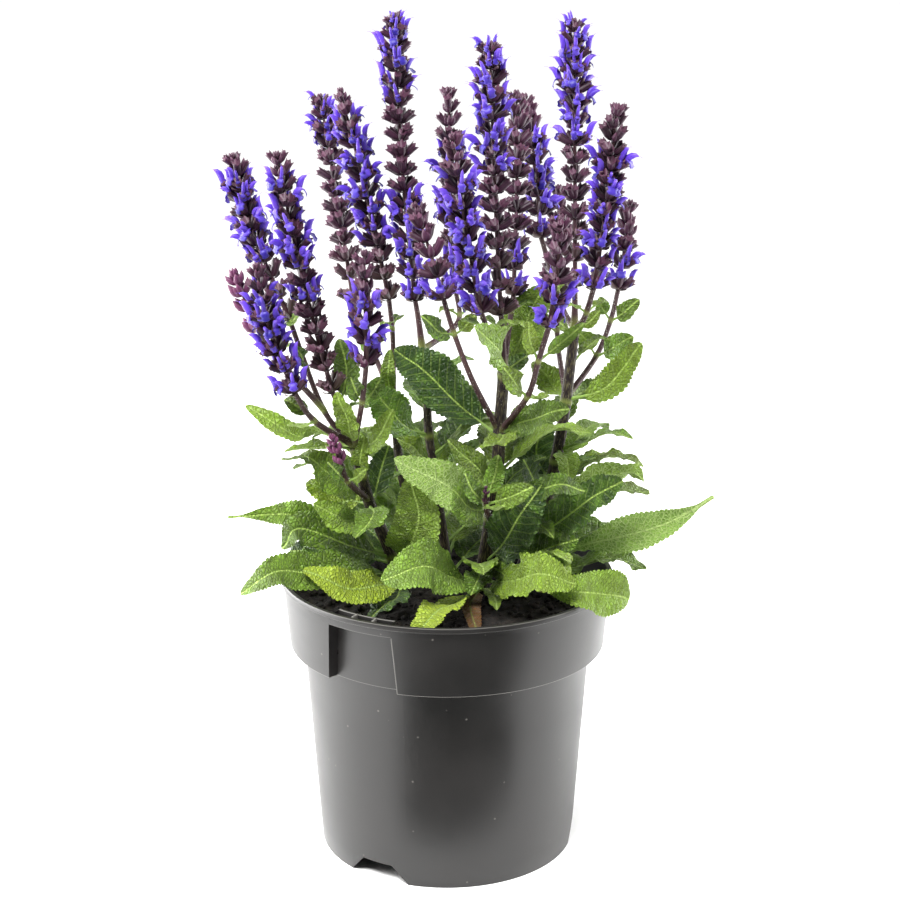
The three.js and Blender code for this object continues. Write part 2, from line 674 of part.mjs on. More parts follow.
function makePot() {
  let pot = potShell().subtract(recessCut()).add(potRecess());
  for (const middle of NOTCH_MIDDLES) pot = pot.subtract(drainNotch(middle));
  for (let i = 0; i < DRAIN_HOLES; i += 1) {
    pot = pot.subtract(drainHole((i * 360) / DRAIN_HOLES));
  }
  return pot;
}

// Height of the crumbs and hollows in the soil's surface.
function crumble(x, y) {
  return 0.7 * Math.sin(0.21 * x + 1.3) * Math.cos(0.17 * y)
    + 0.5 * Math.sin(0.43 * x - 0.39 * y)
    + 0.3 * Math.cos(0.8 * x + 0.3) * Math.sin(0.7 * y);
}

function makeSoil() {
  const padEnd = PAD_RADIUS + PAD_SLOPE;
  const bottom = FLOOR + WALL + GAP;
  const stepHeight = COLLAR_BOTTOM + WALL + GAP;
  const edge = mix(COLLAR_BOTTOM_RADIUS, RIM_RADIUS - LIP_WIDTH + WALL, 0.6) - WALL - 2 * GAP;
  const surface = [0.88, 0.64, 0.36].map((share) => [share * edge, SOIL_LEVEL]);
  const geometry = turned([
    [0, WALL + GAP],
    [PAD_RADIUS - PAD_INSET - GAP, WALL + GAP],
    [padEnd - FLOOR_INSET - GAP, bottom],
    [FOOT_RADIUS - FOOT_WIDTH + FLOOR_INSET - GAP, bottom],
    [BODY_TOP_RADIUS - WALL - GAP, stepHeight],
    [COLLAR_BOTTOM_RADIUS - WALL - 2 * GAP, stepHeight],
    [edge, SOIL_LEVEL - 0.5],
    ...surface,
    [0, SOIL_LEVEL],
  ]);
  const place = geometry.getAttribute('position');
  for (let i = 0; i < place.count; i += 1) {
    if (place.getZ(i) === Math.fround(SOIL_LEVEL)) {
      const [x, y] = [place.getX(i), place.getY(i)];
      const mound = SOIL_MOUND * (1 - (x * x + y * y) / (edge * edge));
      place.setZ(i, SOIL_LEVEL + mound + crumble(x, y));
    }
  }
  const room = WALL + GAP + 0.1;
  const low = COLLAR_BOTTOM;
  const high = SOIL_LEVEL + 6;
  const besideRecess = sector([
    [recessRadius(low) - room, low],
    [RIM_RADIUS + 2, low],
    [RIM_RADIUS + 2, high],
    [recessRadius(high) - room, high],
  ], RECESS.from - 1.6, RECESS.to + 1.6);
  return solidOf(geometry).subtract(besideRecess);
}

// ---------------------------------------------------------------- stems and spikes

function stemWidths(name) {
  const stoutness = STOUT_STEMS[name] ?? 1;
  return [STEM_WIDTH * stoutness, STEM_TOP_WIDTH * stoutness];
}

// A stem's points, with the rooted end that stands in the soil.
function stemCurve(name) {
  const points = vectors(STEMS[name]);
  const down = points[0].clone().sub(points[1]).normalize();
  return [points[0].clone().addScaledVector(down, ROOT_DEPTH), ...points];
}

function spikeCurve(name) {
  return vectors(SPIKES[name].stalk);
}

// The first place on a curve, from 0 to 1, where a test holds.
function firstShare(points, test) {
  let t = 0;
  while (!test(along(points, t))) t += 0.002;
  return t;
}

function shareAwayFromStart(points, distance) {
  return firstShare(points, (place) => place.distanceTo(points[0]) >= distance);
}

function stalkWidth(name) {
  return STALK_WIDTH * (LEADERS.includes(name) ? LEADER_STOUTNESS : 1);
}

// The short start of a spike's stalk, which belongs to the stem that carries the spike.
function branchCollar(name) {
  const points = spikeCurve(name);
  const width = stalkWidth(name);
  return squareBar(points, 1, width, width, 0, shareAwayFromStart(points, COLLAR_LENGTH));
}

function spikesOn(name) {
  return Object.keys(SPIKES).filter((spike) => SPIKES[spike].on === name);
}

function bareStem(name) {
  const points = stemCurve(name);
  const steps = points.length - 1;
  const bar = squareBar(points, steps, ...stemWidths(name));
  return joined([bar, ...spikesOn(name).map(branchCollar)]);
}

function stemHole(name) {
  const points = stemCurve(name);
  const down = points[0].clone().sub(points[1]).normalize();
  const deep = points[0].clone().addScaledVector(down, GAP);
  const beyond = 8;
  const above = points[1].clone().addScaledVector(down, -beyond);
  const width = stemWidths(name)[0] + 2 * GAP;
  return squareBar([deep, points[1], above], 2, width, width);
}

// Where the tiers lie on the flowering axis, as shares of its length: wide apart at the foot and
// close together at the tip.
function tierShares(count) {
  const room = [];
  for (let i = 0; i < count; i += 1) {
    room.push(1 + 0.4 * Math.exp(-i / 1.2) - 0.45 * Math.exp(-(count - 1 - i) / 1.8));
  }
  const total = room.reduce((sum, value) => sum + value, 0);
  let reached = 0;
  return room.map((value) => {
    const share = reached / total;
    reached += value;
    return share;
  });
}

// Eight points round a place on a curve. Each is as far out, and as far on, as its number gives.
function ringRound(points, t, outAt, onAt) {
  const centre = along(points, t);
  const forward = heading(points, t);
  const side = squared(X_AXIS, forward);
  const other = new THREE.Vector3().crossVectors(forward, side);
  return [0, 1, 2, 3, 4, 5, 6, 7].map((j) => {
    const angle = (j * Math.PI) / 4;
    return centre.clone()
      .addScaledVector(side, outAt(j) * Math.cos(angle))
      .addScaledVector(other, outAt(j) * Math.sin(angle))
      .addScaledVector(forward, onAt(j));
  });
}

// One tier: the core's ring, and over it a star of flowers that lean up and out, each tier turned
// an eighth against the one below.
function tierRings(axis, share, kind, index, count) {
  const size = 1 - TIP_SHRINK * Math.exp(-(count - 1 - index) / 1.2);
  const scale = count < SHORT_SPIKE.tiers ? SHORT_SPIKE.size * size : size;
  const reach = WHORL[kind].reach * scale;
  const rise = WHORL[kind].rise * scale;
  const flower = (j) => (j + index) % 2 === 0;
  return [
    ringRound(axis, share, () => Math.min(AXIS_RADIUS, reach / 3), () => 0),
    ringRound(
      axis,
      share,
      (j) => reach * (flower(j) ? 1 : VALLEY),
      (j) => rise * (flower(j) ? 1 : VALLEY_RISE),
    ),
  ];
}

function bareSpike(name) {
  const { stalk, axis, tiers } = SPIKES[name];
  const curve = vectors(stalk);
  const flowering = vectors([stalk[stalk.length - 1], ...axis]);
  const start = shareAwayFromStart(curve, COLLAR_LENGTH + GAP);
  const end = 0.96;
  const steps = 2;
  const rings = [];
  for (let i = 0; i <= steps; i += 1) {
    const half = mix(stalkWidth(name), STALK_TOP_WIDTH, i / steps) / 2;
    const squareReach = (j) => half * (j % 2 ? Math.SQRT2 : 1);
    rings.push(ringRound(curve, mix(start, end, i / steps), squareReach, () => 0));
  }
  tierShares(tiers.length).forEach((share, i) => {
    rings.push(...tierRings(flowering, share, tiers[i], i, tiers.length));
  });
  const head = loft(rings, flowering[flowering.length - 1]);
  return joined([head, ...spikesOn(name).map(branchCollar)]);
}

// ---------------------------------------------------------------- leaves

function lengthOf(points) {
  return points.slice(1).reduce((sum, point, i) => sum + point.distanceTo(points[i]), 0);
}

// A blade's half width at s, from 0 where the blade begins to 1 at its tip.
function halfWidth(width, belly, s) {
  const round = Math.sin(Math.PI * s ** (Math.log(0.5) / Math.log(belly)));
  return Math.max(PETIOLE_WIDTH / 2, (width / 2) * round ** FULLNESS);
}

// A leaf: a stalk, then a toothed blade folded along its midrib with gently waved edges. Where
// only the blade is wanted, to see what it would touch, it starts a little way up.
function leafSolid(leaf, { grow = 0, bladeOnly = false } = {}) {
  const { points, width, face, tipFace, belly } = leaf;
  const length = lengthOf(points);
  const petiole = PETIOLE_LENGTH / length + PETIOLE_SHARE;
  const cells = BLADE_CELLS.find(([over]) => length > over)[1];
  const stations = bladeOnly ? [] : [{ t: 0, s: 0 }];
  for (let i = bladeOnly ? 1 : 0; i < cells; i += 1) {
    stations.push({ t: mix(petiole, 1, i / cells), s: i / cells });
  }
  const rings = stations.map(({ t, s }, i) => {
    const centre = along(points, t);
    const forward = heading(points, t);
    const normal = squared(face.clone().lerp(tipFace, t), forward);
    const side = new THREE.Vector3().crossVectors(forward, normal);
    const tooth = s > 0 ? 1 + TOOTH * (i % 2 === 0 ? 1 : -1) : 1;
    const half = halfWidth(width, belly, s) * tooth + grow;
    const lift = s > 0 ? FOLD * half : 0;
    const wave = s > 0 ? WAVE * width * Math.sin(WAVE_TURN * s) : 0;
    const thick = (s > 0 ? LEAF_THICKNESS : PETIOLE_WIDTH) / 2 + grow;
    return [
      centre.clone().addScaledVector(side, -half).addScaledVector(normal, lift + wave),
      centre.clone().addScaledVector(normal, thick),
      centre.clone().addScaledVector(side, half).addScaledVector(normal, lift - wave),
      centre.clone().addScaledVector(normal, -thick),
    ];
  });
  return loft(rings, along(points, 1));
}

function nearestOn(curve, point) {
  let best = curve[0];
  for (let i = 0; i <= 200; i += 1) {
    const candidate = along(curve, i / 200);
    if (candidate.distanceTo(point) < best.distanceTo(point)) best = candidate;
  }
  return best;
}

function leafOn(curve, [path, width, face, tipFace = face, belly = BELLY]) {
  const points = vectors(path);
  points[0] = nearestOn(curve, points[0]);
  return { points, width, face: vectors([face])[0], tipFace: vectors([tipFace])[0], belly };
}

function bent(leaf, [around, lift]) {
  const base = leaf.points[0];
  const out = leaf.points[leaf.points.length - 1].clone().sub(base).setZ(0).normalize();
  const hinge = out.cross(Z_AXIS);
  const turn = (v) => v
    .applyAxisAngle(hinge, THREE.MathUtils.degToRad(lift))
    .applyAxisAngle(Z_AXIS, THREE.MathUtils.degToRad(around));
  return {
    points: leaf.points.map((point) => turn(point.clone().sub(base)).add(base)),
    width: leaf.width,
    face: turn(leaf.face.clone()),
    tipFace: turn(leaf.tipFace.clone()),
    belly: leaf.belly,
  };
}

// It leaves its stem, arches up and out, and lets its tip down.
function archedLeaf(curve, share, degrees, length, width, arch) {
  const base = along(curve, share);
  const out = onCircle(1, degrees, 0);
  const points = ARCH.map(([across, up]) => base.clone()
    .addScaledVector(out, across * length)
    .addScaledVector(Z_AXIS, up * arch * length));
  const face = Z_AXIS.clone().addScaledVector(out, ARCH_TILT);
  return { points, width, face, tipFace: face, belly: BELLY };
}

function fanLeaves(name) {
  const curve = stemCurve(name);
  return FANS[name].map(([height, degrees, length]) => {
    const share = firstShare(curve, (place) => place.z >= height);
    const climbed = Math.min((height - SOIL_LEVEL) / (ARCH_HIGH_FROM - SOIL_LEVEL), 1);
    const arch = mix(ARCH_LOW, ARCH_HIGH, climbed);
    return archedLeaf(curve, share, degrees, length, length * FAN_SLENDER, arch);
  });
}

function stalkPair(name) {
  const curve = spikeCurve(name);
  const { length, width, share, turn, stalkOver } = STALK_PAIR;
  if (LEAVES[name] || curve[curve.length - 1].distanceTo(curve[0]) < stalkOver) return [];
  const degrees = turn * SPIKES[name].tiers.length;
  return [degrees, degrees + 180].map((angle) => (
    archedLeaf(curve, share, angle, length, width, ARCH_HIGH)
  ));
}

// ---------------------------------------------------------------- assembly

function boxesMeet(a, b) {
  return [0, 1, 2].every((k) => a.min[k] < b.max[k] && b.min[k] < a.max[k]);
}

function meets(a, b) {
  return boxesMeet(a.boundingBox(), b.boundingBox()) && !a.intersect(b).isEmpty();
}

const carriers = { ...STEMS, ...SPIKES };
const curves = {};
for (const name of Object.keys(carriers)) {
  curves[name] = STEMS[name] ? stemCurve(name) : spikeCurve(name);
}

const bare = { nursery_pot: makePot(), potting_soil: makeSoil() };
for (const name of Object.keys(STEMS)) {
  bare.potting_soil = bare.potting_soil.subtract(stemHole(name));
}
for (const name of Object.keys(STEMS)) bare[name] = bareStem(name);
for (const name of Object.keys(SPIKES)) bare[name] = bareSpike(name);

const grown = {};
for (const name of Object.keys(carriers)) grown[name] = [];

// A bent leaf fits if its blade is clear of its own stem's other leaves, and all of it is clear of
// every other piece and the leaves on them.
function fits(name, leaf) {
  const room = leafSolid(leaf, { grow: CLEARANCE });
  const blade = leafSolid(leaf, { grow: CLEARANCE, bladeOnly: true });
  for (const [other, body] of Object.entries(bare)) {
    if (other !== name && meets(room, body)) return false;
    if (other === name && meets(blade, body)) return false;
  }
  return Object.entries(grown).every(([other, leaves]) => leaves.every((placed) => (
    other === name ? !meets(blade, placed.blade) : !meets(room, placed.whole)
  )));
}

// A leaf that fits with no bend is left out.
function grow(name, leaf) {
  const bend = BENDS.find((option) => fits(name, bent(leaf, option)));
  if (!bend) return;
  const placed = bent(leaf, bend);
  grown[name].push({ whole: leafSolid(placed), blade: leafSolid(placed, { bladeOnly: true }) });
}

const wanted = Object.keys(carriers).flatMap((name) => (
  (LEAVES[name] ?? []).map((entry) => [name, leafOn(curves[name], entry)])
));
for (const name of Object.keys(SPIKES)) {
  for (const leaf of stalkPair(name)) wanted.push([name, leaf]);
}
for (const name of Object.keys(STEMS)) {
  for (const leaf of fanLeaves(name)) wanted.push([name, leaf]);
}
for (const [name, leaf] of wanted) grow(name, leaf);

const FINISHES = {
  nursery_pot: { color: '#4b4947', roughness: 0.42, metalness: 0 },
  potting_soil: { color: '#17130f', roughness: 0.97, metalness: 0 },
  leafy_stem: { color: '#5f9138', roughness: 0.7, metalness: 0 },
  flower_spike: { color: '#4a34a8', roughness: 0.75, metalness: 0 },
};

const plant = new THREE.Group();
for (const [name, body] of Object.entries(bare)) {
  const leaves = (grown[name] ?? []).map(({ whole }) => whole);
  const { vertProperties, triVerts } = oneBody(joined([body, ...leaves])).getMesh();
  const geometry = new THREE.BufferGeometry();
  geometry.setAttribute('position', new THREE.BufferAttribute(vertProperties, 3));
  geometry.setIndex(new THREE.BufferAttribute(triVerts, 1));
  geometry.computeVertexNormals();
  const kind = Object.keys(FINISHES).find((key) => name.startsWith(key));
  const mesh = new THREE.Mesh(geometry, new THREE.MeshStandardMaterial(FINISHES[kind]));
  mesh.name = name;
  plant.add(mesh);
}

export default plant;
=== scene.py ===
"""A perennial salvia in flower, in its nursery pot: the finished look.

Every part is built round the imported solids, in the same frame: -Y is the front and +Z is up. Sizes
in the tables and functions are millimetres, and each piece is brought to metres as it is finished.
"""

import math
import random

import bmesh
import bpy
from mathutils import Matrix, Vector, noise
from mathutils.kdtree import KDTree


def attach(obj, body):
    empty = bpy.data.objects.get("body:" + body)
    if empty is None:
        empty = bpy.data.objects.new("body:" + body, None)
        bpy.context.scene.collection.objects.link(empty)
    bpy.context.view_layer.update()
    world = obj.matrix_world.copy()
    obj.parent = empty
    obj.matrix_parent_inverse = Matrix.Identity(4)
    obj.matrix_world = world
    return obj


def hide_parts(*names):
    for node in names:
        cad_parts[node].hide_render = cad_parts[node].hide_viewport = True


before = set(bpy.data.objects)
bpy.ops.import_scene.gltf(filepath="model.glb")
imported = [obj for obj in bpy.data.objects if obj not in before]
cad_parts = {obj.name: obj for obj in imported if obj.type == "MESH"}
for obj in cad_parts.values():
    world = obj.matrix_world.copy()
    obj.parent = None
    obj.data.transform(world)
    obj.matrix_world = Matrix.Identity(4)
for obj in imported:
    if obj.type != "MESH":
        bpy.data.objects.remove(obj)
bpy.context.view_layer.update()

MM = 0.001

# ---------------------------------------------------------------- sizes shared with the solids

RIM_RADIUS = 95
POT_HEIGHT = 162
FOOT_RADIUS = 73.5
WALL = 1.4
COLLAR_BOTTOM = 121.5
COLLAR_BOTTOM_RADIUS = 90
COLLAR_TOP = 158.8
COLLAR_TOP_RADIUS = 93.3
BODY_TOP_RADIUS = 82
FLOOR = 6
PAD_RADIUS = 24
PAD_SLOPE = 6
FLOOR_INSET = 0.6
PAD_INSET = 0.8
FOOT_WIDTH = 2.5
LIP_WIDTH = 3.2
RECESS = {"from": -44, "to": -18, "top": 154.5, "bottom_radius": 84, "top_radius": 85.8}
RECESS_RIBS = (-34, -26)
NOTCH_MIDDLES = (-32, 88, 208)
NOTCH_BOTTOM, NOTCH_TOP, NOTCH_HEIGHT = 20, 9.6, 10.5
DRAIN_HOLES, DRAIN_RADIUS, DRAIN_CIRCLE = 6, 5, 50
SOIL_LEVEL = 146.5
SOIL_MOUND = 1.5

ROOT_DEPTH = 14
STEM_WIDTH, STEM_TOP_WIDTH = 5.6, 4.4
STOUT_STEMS = {"leafy_stem_a": 1.25, "leafy_stem_b": 1.4, "leafy_stem_c": 1.25}
STALK_WIDTH, STALK_TOP_WIDTH = 3, 2.6
LEADERS = ("flower_spike_02", "flower_spike_08", "flower_spike_12", "flower_spike_17")
LEADER_STOUTNESS = 1.3
PETIOLE_WIDTH = 2.2
PETIOLE_LENGTH, PETIOLE_SHARE = 3, 0.12
FOLD = 0.22
BELLY = 0.36

# Points along each main stem, from the soil up.
STEMS = {
    "leafy_stem_a": [(-24, 0, 148), (-33, -5, 177), (-44, -8, 206), (-51, -20, 241)],
    "leafy_stem_b": [(18, 0, 148), (23, -4, 181), (28, -10, 224), (29, -14, 247), (31, -20, 283)],
    "leafy_stem_c": [(38, 2, 148), (56, 4, 202), (63, 6, 234), (67, 8, 261), (71, 10, 300)],
    "leafy_stem_d": [(2, 18, 148), (-10, 20, 233), (-11, 22, 262), (-14, 24, 285)],
    "leafy_stem_e": [(-9, 26, 148), (-26, 32, 207), (-31, 38, 252)],
}

# Each spike: what carries it, its stalk, the flowering axis beyond that, and one letter a tier,
# from the lowest up: o for open flowers, c for calyces whose flowers have dropped, b for buds.
SPIKES = {
    "flower_spike_01": ("leafy_stem_a", [(-51, -20, 241), (-68, -16, 261), (-86, -12, 311)],
                        [(-104, -8, 356), (-115, -4, 397)], "cccoooooobb"),
    "flower_spike_02": ("leafy_stem_a", [(-51, -20, 241), (-58, -30, 265), (-62, -34, 276)],
                        [(-76, -46, 342), (-87, -52, 404)], "cccccocoooooobb"),
    "flower_spike_03": ("flower_spike_01", [(-68, -16, 261), (-88, -24, 287), (-101, -30, 308)],
                        [(-107, -32, 324), (-112, -34, 338)], "bbbb"),
    "flower_spike_04": ("leafy_stem_a", [(-51, -20, 241), (-71, -42, 261), (-81, -50, 279)],
                        [(-92, -56, 313), (-98, -60, 347)], "oooooobb"),
    "flower_spike_05": ("leafy_stem_e", [(-31, 38, 252), (-40, 52, 270), (-55, 66, 306)],
                        [(-64, 80, 362), (-74, 92, 421)], "cccccccccoooo"),
    "flower_spike_06": ("leafy_stem_e", [(-31, 38, 252), (-31, 36, 289), (-33, 34, 313)],
                        [(-44, 30, 368), (-58, 22, 430)], "cccoooooooobb"),
    "flower_spike_07": ("leafy_stem_a", [(-51, -20, 241), (-45, -48, 273), (-42, -58, 296)],
                        [(-42, -64, 325), (-42, -68, 355)], "oooobbb"),
    "flower_spike_08": ("leafy_stem_d", [(-14, 24, 285), (-16, 24, 302), (-18, 25, 314)],
                        [(-25, 30, 390), (-29, 36, 470)], "oooooocccccoooooo"),
    "flower_spike_09": ("leafy_stem_b",
                        [(29, -14, 247), (14, -30, 280), (4, -26, 305), (-2, -22, 324)],
                        [(-9, -17, 348), (-17, -10, 371)], "ocbbbb"),
    "flower_spike_10": ("leafy_stem_d", [(-14, 24, 285), (6, 52, 295), (5, 60, 313)],
                        [(2, 74, 370), (1, 84, 425)], "oocoocooccbb"),
    "flower_spike_11": ("leafy_stem_b", [(31, -20, 283), (23, -38, 306), (18, -44, 321)],
                        [(10, -54, 366), (3, -64, 414)], "oooooooocbb"),
    "flower_spike_12": ("leafy_stem_b", [(31, -20, 283), (30, -21, 303), (29, -23, 316)],
                        [(25, -29, 388), (22, -36, 459)], "cccccccoooooooo"),
    "flower_spike_13": ("leafy_stem_c", [(71, 10, 300), (65, 36, 309), (54, 62, 344)],
                        [(51, 74, 382), (45, 84, 421)], "oooooocbb"),
    "flower_spike_14": ("leafy_stem_b", [(31, -20, 283), (35, 4, 307), (37, 12, 320)],
                        [(39, 34, 374), (39, 52, 426)], "ooccccccccbb"),
    "flower_spike_15": ("leafy_stem_b",
                        [(29, -14, 247), (43, -44, 275), (48, -58, 298), (53, -68, 319)],
                        [(56, -76, 349), (57, -82, 374)], "oocbbbb"),
    "flower_spike_16": ("leafy_stem_c", [(67, 8, 261), (64, 46, 284), (64, 70, 309)],
                        [(65, 82, 338), (66, 92, 367)], "cccbbbb"),
    "flower_spike_17": ("leafy_stem_c", [(71, 10, 300), (71, 10, 313), (71, 11, 325)],
                        [(70, 18, 398), (69, 26, 467)], "cccccccoooooooo"),
    "flower_spike_18": ("leafy_stem_c", [(71, 10, 300), (75, -8, 310), (79, -22, 330)],
                        [(84, -34, 380), (87, -42, 427)], "oooooooocccb"),
    "flower_spike_19": ("leafy_stem_c",
                        [(67, 8, 261), (85, 30, 280), (94, 44, 298), (99, 54, 315)],
                        [(103, 62, 339), (106, 70, 361)], "oocbbb"),
    "flower_spike_20": ("leafy_stem_a", [(-44, -8, 206), (-54, -40, 227), (-57, -46, 239)],
                        [(-59, -48, 246), (-61, -50, 253)], "bbb"),
    "flower_spike_21": ("leafy_stem_b", [(25, -8, 194), (22, -34, 207), (21, -46, 217)],
                        [(21, -48, 221), (21, -49, 225)], "bb"),
}

UP = (0, 0, 1)
FRONT = (0, -0.8, 0.6)
BACK = (0, 0.75, 0.65)

